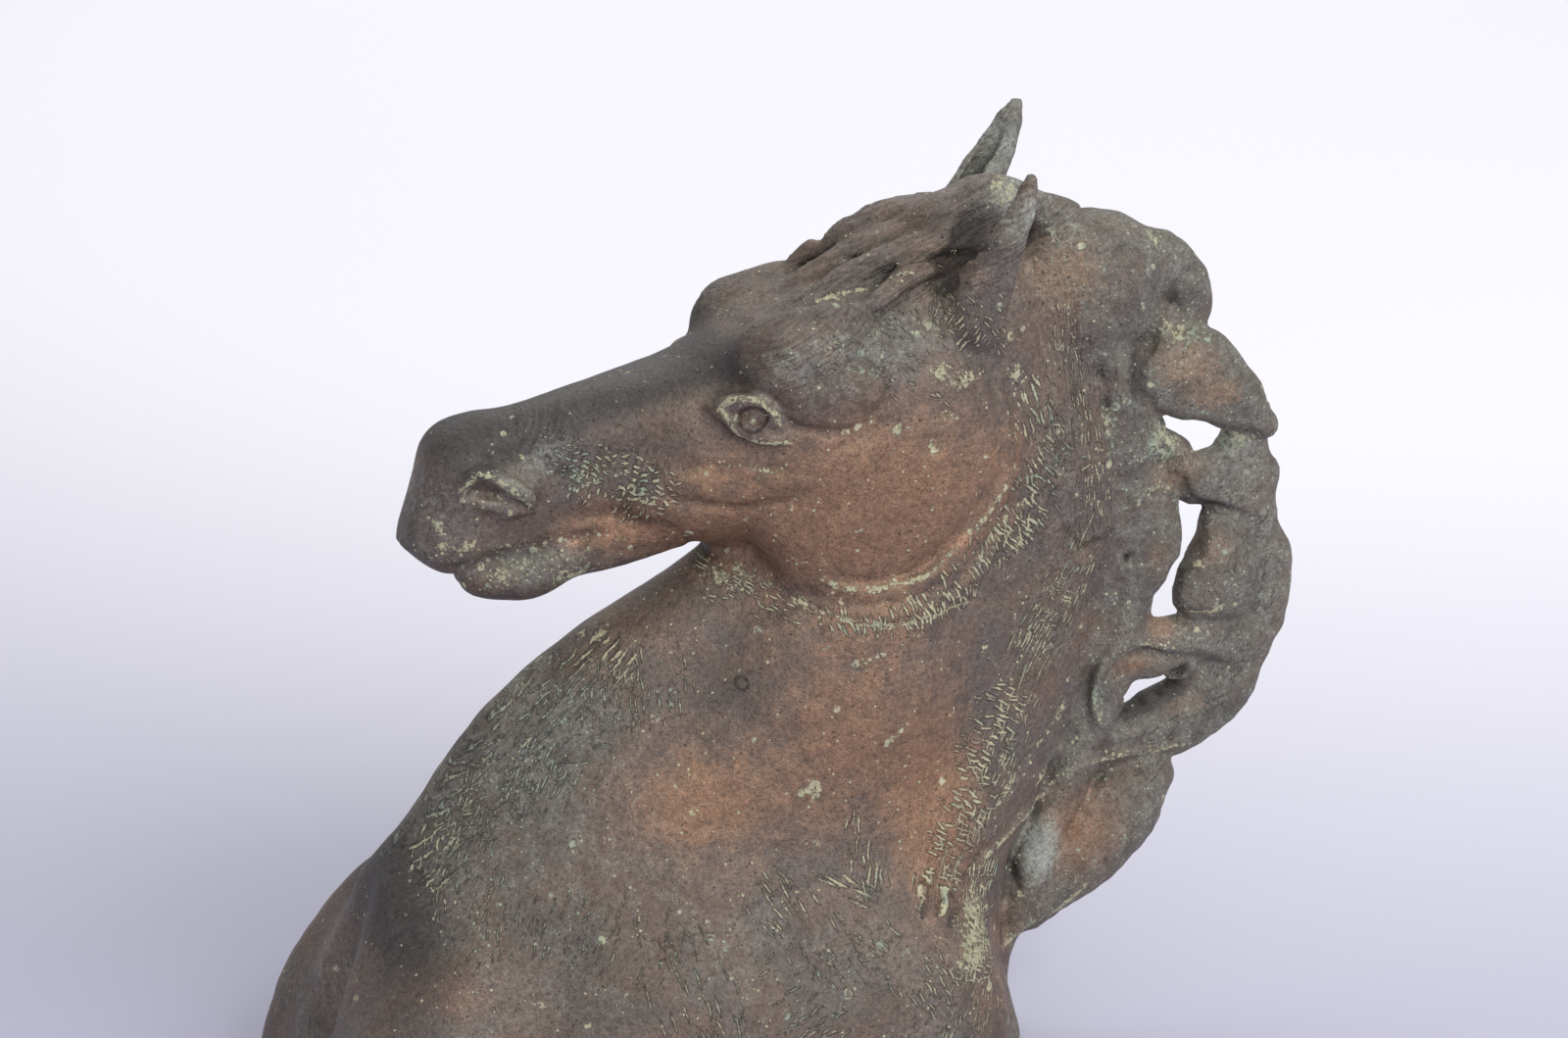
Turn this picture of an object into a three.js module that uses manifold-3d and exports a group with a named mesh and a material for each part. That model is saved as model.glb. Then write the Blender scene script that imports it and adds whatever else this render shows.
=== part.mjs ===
// Bust of a bronze horse: head, neck, mane and breast, cast in one piece and cut flat below.
// Millimetres, +Z up. The horse faces -X and its left side faces -Y. The origin is on the flat
// underside, below the middle of the neck.
// The body is a field of signed distances, negative inside. Lofts carry the head and the neck,
// and muscles, bones, locks of hair and hollows are blended onto them. A net is drawn where the
// field is zero, thinned where the surface is plain, and cut off flat at the underside.
import * as THREE from 'three';
import { mergeVertices } from 'three/addons/utils/BufferGeometryUtils.js';
import Module from 'manifold-3d';

// Driving dimensions
const SCALE = 1; // 1 is a quarter of life size: a head 150 mm long for a real one of 600 mm
const NET_STEP = 2.6; // spacing of the net on neck and breast before it is thinned
const FINE_STEP = 1.3; // and on the head and the mane
const FINE_BOX = [[-94, -32, 76], [126, 32, 212]];
const TRIANGLES = 9700; // left after thinning, before the flat cut
const HEAD_WEIGHT = 4; // how much more a fault of the surface counts on the head when the net is thinned
const CUT_DEPTH = 5; // how far the net runs on below the underside
const BUST_BOX = [[-138, -68, -CUT_DEPTH], [134, 68, 230]]; // room for the bust
const BRONZE = new THREE.MeshStandardMaterial({ color: 0x5b3d31, roughness: 0.48, metalness: 0.85 });

// The head's own frame: along runs from brow to lips, up from jaw to forehead, side out to the left.
const HEAD = { at: [-7.4, 0, 159.3], pitch: 18.8 };

// Sections of the head: along, top line, lower line, half width above, half width below.
const HEAD_SECTIONS = [
  [-66, 15, -10, 13, 11],
  [-52, 20, -25, 18, 14],
  [-35, 22.5, -36, 21.5, 16],
  [-15, 23.5, -40, 23.5, 16.5],
  [0, 22.5, -36, 22.5, 15.5],
  [12, 20.8, -29, 19.8, 13.5],
  [22, 21.6, -22, 16.4, 11.5],
  [32, 22.8, -18, 13.4, 9.8],
  [44, 23.8, -14.5, 11.5, 9],
  [52, 25, -12, 11.6, 9.2],
  [58, 26.7, -9.5, 11.8, 9.4],
  [65, 27, -5.6, 11.8, 9.6],
  [70, 24.8, -3.2, 10.6, 9],
  [75, 18, -1.6, 9, 8],
  [79.5, 12, 1, 7.4, 6.6],
  [83.5, 8.6, 4, 5.5, 5],
];
const HEAD_SQUARENESS = 2.5;

// Sections of neck and breast: height, front, back, half width, its share in front and behind.
const NECK_SECTIONS = [
  [-12, -124, 60, 57, 0.93, 0.86],
  [0, -122, 57, 57, 0.93, 0.86],
  [15, -116.5, 54, 56, 0.92, 0.84],
  [30, -111.5, 52, 53, 0.9, 0.82],
  [45, -105, 54, 49, 0.87, 0.8],
  [58, -99.4, 60, 44.5, 0.84, 0.76],
  [70, -89, 66, 39, 0.82, 0.72],
  [83, -80.4, 71, 33.5, 0.82, 0.68],
  [97, -68.8, 76, 28, 0.8, 0.7],
  [111, -50.5, 79.5, 24, 0.8, 0.74],
  [125, -25.5, 82, 20.8, 0.82, 0.78],
  [140, -5, 82, 18.6, 0.86, 0.8],
  [155, 8, 78, 17.6, 0.9, 0.8],
  [170, 18, 71, 16.8, 0.9, 0.8],
  [184, 30, 61, 15, 0.9, 0.7],
  [194, 42, 52, 8, 0.9, 0.8],
];
const NECK_SQUARENESS = 2.1;

// Masses of the head on both sides: centre and half sizes along, up and side, turn in profile,
// blend, and squareness where it isn't round.
const HEAD_MASSES = [
  { name: 'cheek', at: [-19.5, -15, 13], size: [31, 29.5, 12.4], turn: 0, blend: 3, square: 2.7 },
  { name: 'cheek front', at: [12, -5, 10.5], size: [23, 14, 8.8], turn: 8, blend: 6 },
  { name: 'brow', at: [-14.5, 11.4, 17.6], size: [15, 12.8, 8.8], turn: -20, blend: 4.5, square: 2.2 },
  { name: 'upper brow', at: [-6.5, 17, 16.2], size: [9.5, 8.6, 7.6], turn: 20, blend: 7 },
  { name: 'nostril wing', at: [61, 14.4, 7], size: [11, 7.4, 5.8], turn: 25, blend: 3.5 },
  { name: 'upper lip', at: [71.5, 4.6, 3], size: [9.2, 7.8, 8.2], turn: -55, blend: 4 },
  { name: 'lower lip', at: [65, -8.4, 2.5], size: [9.6, 6.2, 6.6], turn: 12, blend: 3 },
  { name: 'chin', at: [57.5, -11.6, 2], size: [9, 6, 6.8], turn: 0, blend: 3 },
  { name: 'jaw bar', at: [36, -12.4, 6], size: [19, 5.8, 4.6], turn: 6, blend: 4 },
];

// Hollows of the head, cut with a soft edge.
const HEAD_HOLLOWS = [
  { name: 'eye socket', at: [4.8, 8.8, 25.2], size: [8, 4.6, 6.2], turn: 42, blend: 1.2 },
  { name: 'nostril', at: [61.4, 12.4, 15.4], size: [6.4, 2.8, 5.2], turn: 40, blend: 1 },
  { name: 'nose fold', at: [53.5, 19, 14.6], size: [8, 1.6, 4.2], turn: 30, blend: 2.4 },
  { name: 'mouth slit', at: [61, -5.4, 12.6], size: [15.5, 0.7, 5.6], turn: 14, blend: 1.2 },
  { name: 'nose flank', at: [37, 8, 20], size: [15, 6, 7], turn: 0, blend: 6 },
  { name: 'lip groove', at: [44, -2.4, 14], size: [10, 1.8, 5], turn: 20, blend: 2.6 },
  { name: 'brow edge', at: [-15, -4.4, 27.5], size: [13, 1.8, 3.4], turn: -4, blend: 1.6 },
  { name: 'brow front', at: [5, 17, 25.5], size: [3.4, 4.4, 4], turn: -20, blend: 2.5 },
];
const EYE = { at: [2.6, 8.6, 14.8], radius: 8.1, blend: 0.4 };

// Strands are swept flat ovals: points along, up, side, with half width and half thickness at each.
const EARS = [
  {
    name: 'left ear', side: 1,
    path: [[-49, 6, 16], [-55, 14, 18.2], [-60.5, 20, 19.2], [-66.3, 25.4, 19.2], [-70, 29.8, 18.8],
      [-72.2, 32.4, 18.4]],
    wide: [8.2, 6.6, 4.8, 3.5, 2.4, 1.3],
    thick: [5.4, 4.6, 3.6, 2.7, 1.9, 1.2],
  },
  {
    name: 'right ear', side: -1,
    path: [[-58, 10, 16], [-65, 16.5, 18], [-71.6, 22.8, 18.8], [-76.6, 27.4, 18.8],
      [-81.2, 32.4, 18.4], [-84.6, 36.2, 18]],
    wide: [8.6, 7.6, 6.3, 5.2, 3.9, 1.9],
    thick: [5.4, 4.6, 3.6, 2.7, 1.9, 1.2],
  },
];
const EAR_BLEND = 2.5;
const EAR_CUP = { forward: 3.2, out: -1.4, size: 0.5, blend: 1 };
const EAR_THIN = [0.35, -0.1, 0.9];

const FORELOCK = [
  {
    name: 'right lock',
    path: [[-66, 19, -6], [-56, 24.5, -9], [-46, 26.8, -10], [-36, 26, -11.5], [-29, 23.4, -13]],
    wide: [5, 6, 5.5, 4.6, 2.4],
    thick: [4, 3.6, 3.4, 3.4, 2.4],
  },
  {
    name: 'knob',
    path: [[-28, 24.6, -14.5], [-24, 23.4, -15.5]],
    wide: [2.6, 2],
    thick: [2.6, 2],
  },
  {
    name: 'middle lock',
    path: [[-63, 20, 0], [-50, 24.6, -1.5], [-38, 25, -3.6], [-26, 24, -4.6], [-12, 22.6, -4]],
    wide: [5, 5, 4.6, 3.6, 1.4],
    thick: [3.5, 3.6, 3, 2.4, 1.2],
  },
  {
    name: 'left lock',
    path: [[-60, 18, 5], [-47, 23, 5.5], [-34, 23.2, 4.6], [-20, 22.6, 5.6], [-7, 21.4, 7.5]],
    wide: [5, 5, 4.4, 3.4, 1.4],
    thick: [3.2, 3.4, 3, 2.2, 1.2],
  },
  {
    name: 'side lock',
    path: [[-50, 17, 10], [-42, 20.4, 11.5], [-33, 19.6, 14.5], [-24, 18.6, 16.5]],
    wide: [4, 4, 3.4, 1.6],
    thick: [2.6, 3, 2.4, 1.4],
  },
];
const FORELOCK_BLEND = 1.4;

// Lids, rims and folds of skin on both sides of the head. Points are along, up and side.
const FOLDS = [
  {
    name: 'upper lid',
    path: [[11.2, 12.8, 16.6], [7.6, 13.9, 19.6], [3.8, 12.9, 21.8], [0.6, 9.9, 22.8], [-1, 6, 23],
      [-2.6, 1.8, 22.6]],
    wide: [1, 1.5, 1.8, 1.8, 1.7, 1.2],
    thick: [1, 1.5, 1.7, 1.7, 1.6, 1.1],
  },
  {
    name: 'lower lid',
    path: [[11.2, 12.4, 16.6], [9.4, 10.3, 19.2], [7.4, 7.5, 20.8], [4.8, 5, 21.8],
      [1.8, 2.8, 22.3], [-2.6, 1, 22.4]],
    wide: [1, 1.4, 1.6, 1.7, 1.6, 1.2],
    thick: [1, 1.4, 1.6, 1.6, 1.5, 1.1],
  },
  {
    name: 'fold below the eye',
    path: [[18, 3.6, 16.6], [8.5, -2.1, 19.8], [-1, -8, 22.6]],
    wide: [1, 2, 1],
    thick: [1, 1.6, 1],
  },
  {
    name: 'cheek ridge',
    path: [[28, 1.4, 13], [21, -3, 15.6], [13, -7.4, 18], [5, -10, 20]],
    wide: [1.4, 2.4, 2.6, 1],
    thick: [1.2, 2.2, 2.2, 0.8],
  },
  {
    name: 'nostril rim',
    path: [[69.4, 13.6, 8.6], [67.4, 17.8, 10.8], [62.5, 18.6, 12.4], [58, 14.8, 13.4],
      [54.4, 9.8, 13], [54.6, 6, 12], [60, 6.6, 12]],
    wide: [1.2, 1.5, 1.5, 1.5, 1.5, 1.4, 1.2],
    thick: [1.2, 1.5, 1.5, 1.5, 1.5, 1.4, 1.2],
  },
  {
    name: 'mouth corner',
    path: [[47, -4.6, 7.6], [40, -6.2, 9], [33, -9.6, 9.8], [27.6, -15.4, 8.2]],
    wide: [1.1, 1.8, 1.8, 1.2],
    thick: [1, 1.5, 1.5, 1.2],
  },
  {
    name: 'jaw rim',
    path: [[7, -31.6, 16], [-1, -38.4, 18.6], [-10, -43.2, 19.6], [-22, -44, 20.4],
      [-34, -39.6, 19.8], [-44.6, -30.4, 18.4], [-49, -18, 17], [-49.4, -8, 15.6]],
    wide: [1.2, 2.4, 2.8, 3, 3, 2.8, 2.6, 2],
    thick: [1.2, 2.2, 2.6, 2.8, 2.8, 2.6, 2.2, 1.4],
  },
  {
    name: 'throat fold',
    path: [[1, -42.5, 18], [-8, -48, 20.6], [-19, -50.4, 21.2], [-31, -48, 19.6], [-41, -41.6, 16.4]],
    wide: [1, 2, 2.4, 2.2, 1],
    thick: [1, 2, 2.2, 2, 1],
  },
];
const FOLD_BLEND = 1.4;

// Locks of the mane lie in the plane of the crest. Points are x, y and z of the bust.
const MANE = [
  {
    name: 'crest band',
    path: [[48, 0, 192], [63, 0, 181], [76, 0, 164], [82, 0, 145], [84.5, 0, 125], [80.5, 0, 104],
      [75, 0, 82], [66, 0, 60], [57, 0, 40], [50, 0, 22]],
    wide: [5, 8, 9, 9, 9.5, 9.5, 9, 8, 7, 5],
    thick: [7, 9, 9.5, 8.5, 8, 8.5, 9, 10, 12, 12],
  },
  {
    name: 'poll lock',
    path: [[38, 0, 201.5], [47, 0, 204], [58, -0.5, 201.2], [68, -1, 197.4]],
    wide: [5.6, 6.2, 5.2, 4.6],
    thick: [7.5, 6.5, 5.6, 5],
  },
  {
    name: 'poll end',
    path: [[79, 0, 187.5], [89, 0, 185.5], [95.4, 0, 180.4], [96.8, 0, 175.6], [93.5, 0, 170]],
    wide: [8, 7.6, 6.4, 5.6, 4.6],
    thick: [6.5, 6, 5, 4.4, 4],
  },
  {
    name: 'poll fill',
    path: [[82, 0, 178], [89, 0, 172.5], [92, 0, 166]],
    wide: [6, 6, 6],
    thick: [5, 4.4, 4.4],
  },
  {
    name: 'high leaf',
    path: [[84, -3, 161], [96.9, -4, 159.8], [107.7, -3.4, 152.6], [116.6, -2, 145]],
    wide: [8.5, 10.8, 7.8, 3.2],
    thick: [6, 5.6, 4.8, 3],
  },
  {
    name: 'window lump',
    path: [[84, -1, 147], [89.3, -2, 143.6], [93, -2, 140.6], [97, -1, 136.4]],
    wide: [5, 5, 4.8, 4.6],
    thick: [5.5, 5.4, 5, 4.6],
  },
  {
    name: 'bridge',
    path: [[80, 0, 136], [93, 0.5, 133.6], [104, 1.5, 132]],
    wide: [7.5, 5.4, 7],
    thick: [6, 4.6, 4.6],
  },
  {
    name: 'second leaf',
    path: [[113, 1, 143], [112, 1, 132], [114.5, 1, 122]],
    wide: [5.6, 10, 7.4],
    thick: [4, 5, 4.6],
  },
  {
    name: 'window edge',
    path: [[89.5, -1.4, 126.5], [90.6, -2.2, 119.5], [88, -2.4, 112.5]],
    wide: [6.6, 6, 4.6],
    thick: [6, 6, 6.4],
  },
  {
    name: 'inner lobe',
    path: [[107.4, -1, 122], [105.6, -3, 112.5], [105, -3.4, 104.4]],
    wide: [6.6, 9.6, 11],
    thick: [4, 5.8, 5.8],
  },
  {
    name: 'outer curl',
    path: [[115.8, 1, 121], [118.8, 1.5, 108.4], [117.2, 1, 99], [112.8, 1, 88], [108.6, 0, 79]],
    wide: [6, 8.2, 8.6, 8, 8],
    thick: [4.4, 4.8, 4.8, 4.6, 4.4],
  },
  {
    name: 'upper tie',
    path: [[80, -1, 97], [92, -2, 95], [104, -2, 95], [114, -1, 91]],
    wide: [7, 4.6, 6, 7],
    thick: [6, 4.8, 4.8, 4.4],
  },
  {
    name: 'flap',
    path: [[75, -1, 89], [85, -2.6, 90.4], [96, -1.6, 88]],
    wide: [5, 4.8, 4.2],
    thick: [5, 4.8, 4.4],
  },
  {
    name: 'lower tie',
    path: [[72, 0, 67], [84, 0.5, 69.5], [95, 1, 72], [105, 1, 76.5], [112, 0, 83]],
    wide: [6, 7.2, 9.6, 10, 7.4],
    thick: [6.5, 5.5, 5.2, 4.8, 4.4],
  },
  {
    name: 'low leaf',
    path: [[90, -1, 61.5], [80.5, -3.5, 50.8], [69.5, -4, 41.5], [58, -2, 32]],
    wide: [7.5, 11.4, 10.6, 7],
    thick: [5.4, 6.6, 7, 8],
  },
];
const POLL_LOBE = { at: [69.5, 0, 183], size: [18, 11.6, 16.4], turn: 0, square: 2.8 };
const MANE_BLEND = 1.4;
const CREST_BLEND = 3;
const MANE_THIN = [0, 1, 0];

// Windows and cuts of the mane: centre, half sizes, turn in the crest plane, blend.
const WINDOWS = [
  { name: 'cut poll lock', at: [73.4, 0, 204.3], size: [4.2, 14, 5.2], turn: 0, blend: 0.6, square: 6 },
  { name: 'upper window', at: [101.4, 0, 142.3], size: [3, 30, 3.5], turn: 0, blend: 1.2 },
  { name: "upper window's tip", at: [97.2, 0, 146.4], size: [6.4, 30, 1.7], turn: -14, blend: 1.2 },
  { name: 'middle window', at: [98.2, 0, 119.2], size: [3.1, 30, 6.9], turn: -20, blend: 1.2 },
  { name: "middle window's foot", at: [92.9, 0, 108.4], size: [2.3, 30, 7.6], turn: -6, blend: 1.2 },
  { name: 'lower window', at: [87.2, 0, 82.9], size: [6.6, 30, 1.6], turn: 25, blend: 1.2 },
  { name: 'slit below the flap', at: [90.5, -7.4, 84.4], size: [12.5, 4.4, 1.9], turn: 27, blend: 1.2 },
];

// Masses of the body on both sides, in x, y and z of the bust.
const BODY_MASSES = [
  { name: 'breast muscle', at: [-87.6, 27.4, 3], size: [31.6, 18, 52], turn: -16, blend: 9 },
  { name: 'shoulder', at: [-40, 36, 4], size: [40, 19, 46], turn: -24, blend: 12 },
  { name: 'shoulder blade', at: [10, 31, 8], size: [34, 18, 44], turn: -10, blend: 12 },
  { name: 'neck muscle', at: [4, 13, 90], size: [26, 15.5, 50], turn: -34, blend: 10 },
];
const BODY_GROOVES = [
  { name: 'breast groove', at: [-121, 0, 22], size: [14, 8, 62], turn: -16, blend: 10 },
  { name: 'neck groove', at: [-58, 46, 78], size: [10, 9, 36], turn: -48, blend: 10 },
];

const rad = THREE.MathUtils.degToRad;

// Smooth union of two distances, over a band of width k.
function join(a, b, k) {
  const h = Math.max(k - Math.abs(a - b), 0) / k;
  return Math.min(a, b) - (h * h * k) / 4;
}

// Smooth cut of b out of a.
function carve(a, b, k) {
  return -join(-a, b, k);
}

// Distance to an oval with centre at and half sizes size, turned in the plane of its first and
// last axis.
function oval({ at, size, turn, square = 2 }) {
  const c = Math.cos(rad(turn));
  const s = Math.sin(rad(turn));
  return (x, y, z) => {
    const dx = x - at[0];
    const dz = z - at[2];
    const px = Math.abs((dx * c + dz * s) / size[0]);
    const py = Math.abs((y - at[1]) / size[1]);
    const pz = Math.abs((-dx * s + dz * c) / size[2]);
    const sum = Math.pow(px, square) + Math.pow(py, square) + Math.pow(pz, square);
    const near = Math.pow(sum, 1 / square);
    if (near < 1e-6) return -Math.min(...size);
    const slopes = [px, py, pz].map((p, axis) => Math.pow(p / near, square - 1) / size[axis]);
    const steep = Math.hypot(...slopes);
    return (near - 1) / steep;
  };
}

// The columns of a table of sections, smoothed by a spline and looked up by the first column.
function smoothTable(rows, samples = 400) {
  const low = rows[0][0];
  const high = rows[rows.length - 1][0];
  const columns = rows[0].slice(1).map((_, column) => {
    const values = new Float64Array(samples + 1);
    for (let i = 0; i <= samples; i++) {
      values[i] = splineAt(rows, column + 1, low + ((high - low) * i) / samples);
    }
    return values;
  });
  return (t) => {
    const place = THREE.MathUtils.clamp((t - low) / (high - low), 0, 1) * samples;
    const i = Math.min(Math.floor(place), samples - 1);
    return columns.map((values) => values[i] + (values[i + 1] - values[i]) * (place - i));
  };
}

// Cubic through a column of the table, with each row's slope taken from its neighbours.
function splineAt(rows, column, t) {
  let i = 0;
  while (i < rows.length - 2 && t > rows[i + 1][0]) i++;
  const slope = (k) => {
    const a = rows[Math.max(k - 1, 0)];
    const b = rows[Math.min(k + 1, rows.length - 1)];
    return (b[column] - a[column]) / (b[0] - a[0]);
  };
  const span = rows[i + 1][0] - rows[i][0];
  const f = (t - rows[i][0]) / span;
  const g = 1 - f;
  return g * g * (1 + 2 * f) * rows[i][column] + f * f * (3 - 2 * f) * rows[i + 1][column]
    + span * f * g * (g * slope(i) - f * slope(i + 1));
}

// Distance to a rounded section with half sizes tall and wide.
function section(up, side, tall, wide, power) {
  const a = Math.abs(up / tall);
  const b = Math.abs(side / wide);
  const near = Math.pow(Math.pow(a, power) + Math.pow(b, power), 1 / power);
  if (near < 1e-6) return -Math.min(tall, wide);
  const steep = Math.hypot(Math.pow(a / near, power - 1) / tall, Math.pow(b / near, power - 1) / wide);
  return (near - 1) / steep;
}

function headLoft() {
  const table = smoothTable(HEAD_SECTIONS);
  const first = HEAD_SECTIONS[0][0];
  const last = HEAD_SECTIONS[HEAD_SECTIONS.length - 1][0];
  return (along, up, side) => {
    const [top, bottom, above, below] = table(along);
    const tall = (top - bottom) / 2;
    const t = (up - (top + bottom) / 2) / tall;
    const wide = THREE.MathUtils.lerp(below, above, THREE.MathUtils.smoothstep(t, -1, 1));
    const round = section(t * tall, side, tall, wide, HEAD_SQUARENESS);
    return -join(-round, -Math.max(first - along, along - last), 6);
  };
}

function neckLoft() {
  const table = smoothTable(NECK_SECTIONS);
  const top = NECK_SECTIONS[NECK_SECTIONS.length - 1][0];
  return (x, y, z) => {
    const [front, back, half, fore, aft] = table(z);
    const long = (back - front) / 2;
    const t = (x - (front + back) / 2) / long;
    const wide = half * THREE.MathUtils.lerp(fore, aft, THREE.MathUtils.smoothstep(t, -1, 1));
    const round = section(t * long, y, long, wide, NECK_SQUARENESS);
    return -join(-round, -(z - top), 10);
  };
}

// Distance to a strand: an oval section, thin along the given direction, swept along a smooth path.
function strand(form, thin, steps = 5) {
  const places = form.path.map((p) => new THREE.Vector3(...p));
  const curve = new THREE.CatmullRomCurve3(places, false, 'catmullrom', 0.5);
  const count = (form.path.length - 1) * steps;
  const knots = [];
  for (let i = 0; i <= count; i++) {
    const t = i / count;
    const k = Math.min(Math.floor(t * (form.path.length - 1)), form.path.length - 2);
    const f = t * (form.path.length - 1) - k;
    const ease = f * f * (3 - 2 * f);
    knots.push({
      at: curve.getPoint(t),
      wide: THREE.MathUtils.lerp(form.wide[k], form.wide[k + 1], ease),
      thick: THREE.MathUtils.lerp(form.thick[k], form.thick[k + 1], ease),
    });
  }
  const normal = new THREE.Vector3(...thin).normalize();
  const box = new THREE.Box3().setFromPoints(knots.map((k) => k.at));
  box.expandByScalar(Math.max(...form.wide));
  const p = new THREE.Vector3();
  const d = new THREE.Vector3();
  const e = new THREE.Vector3();
  const links = knots.slice(1).map((b, i) => {
    const a = knots[i];
    const run = new THREE.Vector3().subVectors(b.at, a.at);
    const length = run.length();
    const along = run.clone().divideScalar(length);
    const flat = normal.clone().addScaledVector(along, -normal.dot(along)).normalize();
    return { a, b, along, length, flat, across: new THREE.Vector3().crossVectors(flat, along) };
  });
  return (x, y, z) => {
    p.set(x, y, z);
    const away = box.distanceToPoint(p);
    if (away > 15) return away;
    let best = Infinity;
    for (const { a, b, along, length, flat, across } of links) {
      d.subVectors(p, a.at);
      const run = THREE.MathUtils.clamp(d.dot(along), 0, length);
      const f = run / length;
      e.copy(d).addScaledVector(along, -run);
      const wide = a.wide + (b.wide - a.wide) * f;
      const thick = a.thick + (b.thick - a.thick) * f;
      const u = e.dot(across);
      const v = e.dot(flat);
      const w = e.dot(along);
      const near = Math.sqrt((u / wide) ** 2 + (v / thick) ** 2 + (w / thick) ** 2);
      const steep = Math.sqrt((u / wide ** 2) ** 2 + (v / thick ** 2) ** 2 + (w / thick ** 2) ** 2);
      const distance = steep > 0 ? (near * (near - 1)) / steep : -thick;
      if (distance < best) best = distance;
    }
    return best;
  };
}

// Each ear is a leaf with a cup cut into its front.
function ear(form) {
  const leaf = strand(form, EAR_THIN);
  const cup = strand({
    path: form.path.slice(1).map(([a, u, s]) => [a + EAR_CUP.forward, u, s + EAR_CUP.out]),
    wide: form.wide.slice(1).map((w) => w * EAR_CUP.size),
    thick: form.thick.slice(1).map((t) => t * EAR_CUP.size),
  }, EAR_THIN);
  return (along, up, side) => carve(leaf(along, up, side), cup(along, up, side), EAR_CUP.blend);
}

// An oval given along, up and side, with its turn in profile.
function profileOval({ at, size, turn = 0, square }) {
  const flat = oval({ at: [at[0], at[2], at[1]], size: [size[0], size[2], size[1]], turn, square });
  return (along, up, side) => flat(along, side, up);
}

function headField() {
  const loft = headLoft();
  const masses = HEAD_MASSES.map((form) => [profileOval(form), form.blend]);
  const hollows = HEAD_HOLLOWS.map((form) => [profileOval(form), form.blend]);
  const eye = profileOval({ at: EYE.at, size: [EYE.radius, EYE.radius, EYE.radius] });
  const ears = EARS.map((form) => [ear(form), form.side]);
  const locks = FORELOCK.map((form) => strand(form, [0.1, 1, 0.1]));
  const folds = FOLDS.map((form) => strand(form, [0, 0, 1]));
  return (along, up, side) => {
    const out = Math.abs(side);
    let d = loft(along, up, out);
    for (const [mass, blend] of masses) d = join(d, mass(along, up, out), blend);
    for (const [hollow, blend] of hollows) d = carve(d, hollow(along, up, out), blend);
    d = join(d, eye(along, up, out), EYE.blend);
    for (const fold of folds) d = join(d, fold(along, up, out), FOLD_BLEND);
    for (const [leaf, way] of ears) d = join(d, leaf(along, up, side * way), EAR_BLEND);
    for (const lock of locks) d = join(d, lock(along, up, side), FORELOCK_BLEND);
    return d;
  };
}

function bodyField() {
  const loft = neckLoft();
  const masses = BODY_MASSES.map((form) => [oval(form), form.blend]);
  const grooves = BODY_GROOVES.map((form) => [oval(form), form.blend]);
  const locks = [oval(POLL_LOBE), ...MANE.map((form) => strand(form, MANE_THIN))];
  const windows = WINDOWS.map((form) => [oval(form), form.blend]);
  return (x, y, z) => {
    const out = Math.abs(y);
    let d = loft(x, y, z);
    for (const [mass, blend] of masses) d = join(d, mass(x, out, z), blend);
    for (const [groove, blend] of grooves) d = carve(d, groove(x, out, z), blend);
    const mane = locks.map((lock) => lock(x, y, z)).reduce((a, b) => join(a, b, MANE_BLEND));
    d = join(d, mane, CREST_BLEND);
    for (const [window, blend] of windows) d = carve(d, window(x, y, z), blend);
    return d;
  };
}

// The whole bust.
function bustField() {
  const head = headField();
  const body = bodyField();
  const c = Math.cos(rad(HEAD.pitch));
  const s = Math.sin(rad(HEAD.pitch));
  const NECK_BLEND = 5;
  return (x, y, z) => {
    const dx = x - HEAD.at[0];
    const dz = z - HEAD.at[2];
    const inHead = head(-dx * c - dz * s, -dx * s + dz * c, -(y - HEAD.at[1]));
    return join(inHead, body(x, y, z), NECK_BLEND);
  };
}

// The six tetrahedra of a cube, each a walk along its edges from corner 0 to corner 7.
const WALKS = [[0, 1, 2], [1, 2, 0], [2, 0, 1], [0, 2, 1], [2, 1, 0], [1, 0, 2]].map((axes, i) => {
  const corners = [0, 1 << axes[0], (1 << axes[0]) | (1 << axes[1]), 7];
  return i < 3 ? corners : [corners[0], corners[2], corners[1], corners[3]];
});

// Places of the grid planes along one axis, closer together within the fine stretch.
function gridPlanes(low, high, fineLow, fineHigh) {
  const planes = [low];
  while (planes[planes.length - 1] < high) {
    const last = planes[planes.length - 1];
    planes.push(last + (last >= fineLow && last < fineHigh ? FINE_STEP : NET_STEP));
  }
  return planes;
}

// The field at the points of the grid. Blocks far from the surface take one value for all their
// points, and the outermost points count as outside, which closes the net.
function sampleField(field, planes) {
  const n = planes.map((p) => p.length);
  const value = new Float32Array(n[0] * n[1] * n[2]);
  const BLOCK = 4;
  const FAR = BLOCK * NET_STEP * 1.6;
  for (let k0 = 0; k0 < n[2]; k0 += BLOCK) {
    for (let j0 = 0; j0 < n[1]; j0 += BLOCK) {
      for (let i0 = 0; i0 < n[0]; i0 += BLOCK) {
        const middle = [i0, j0, k0].map((c, axis) => planes[axis][Math.min(c + BLOCK / 2, n[axis] - 1)]);
        const rough = field(...middle);
        for (let k = k0; k < Math.min(k0 + BLOCK, n[2]); k++) {
          for (let j = j0; j < Math.min(j0 + BLOCK, n[1]); j++) {
            for (let i = i0; i < Math.min(i0 + BLOCK, n[0]); i++) {
              const ends = [[i, n[0]], [j, n[1]], [k, n[2]]];
              const rim = ends.some(([at, count]) => at === 0 || at === count - 1);
              const exact = () => field(planes[0][i], planes[1][j], planes[2][k]);
              const near = Math.abs(rough) > FAR ? rough : exact();
              value[i + n[0] * (j + n[1] * k)] = rim ? NET_STEP : near;
            }
          }
        }
      }
    }
  }
  return value;
}

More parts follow.
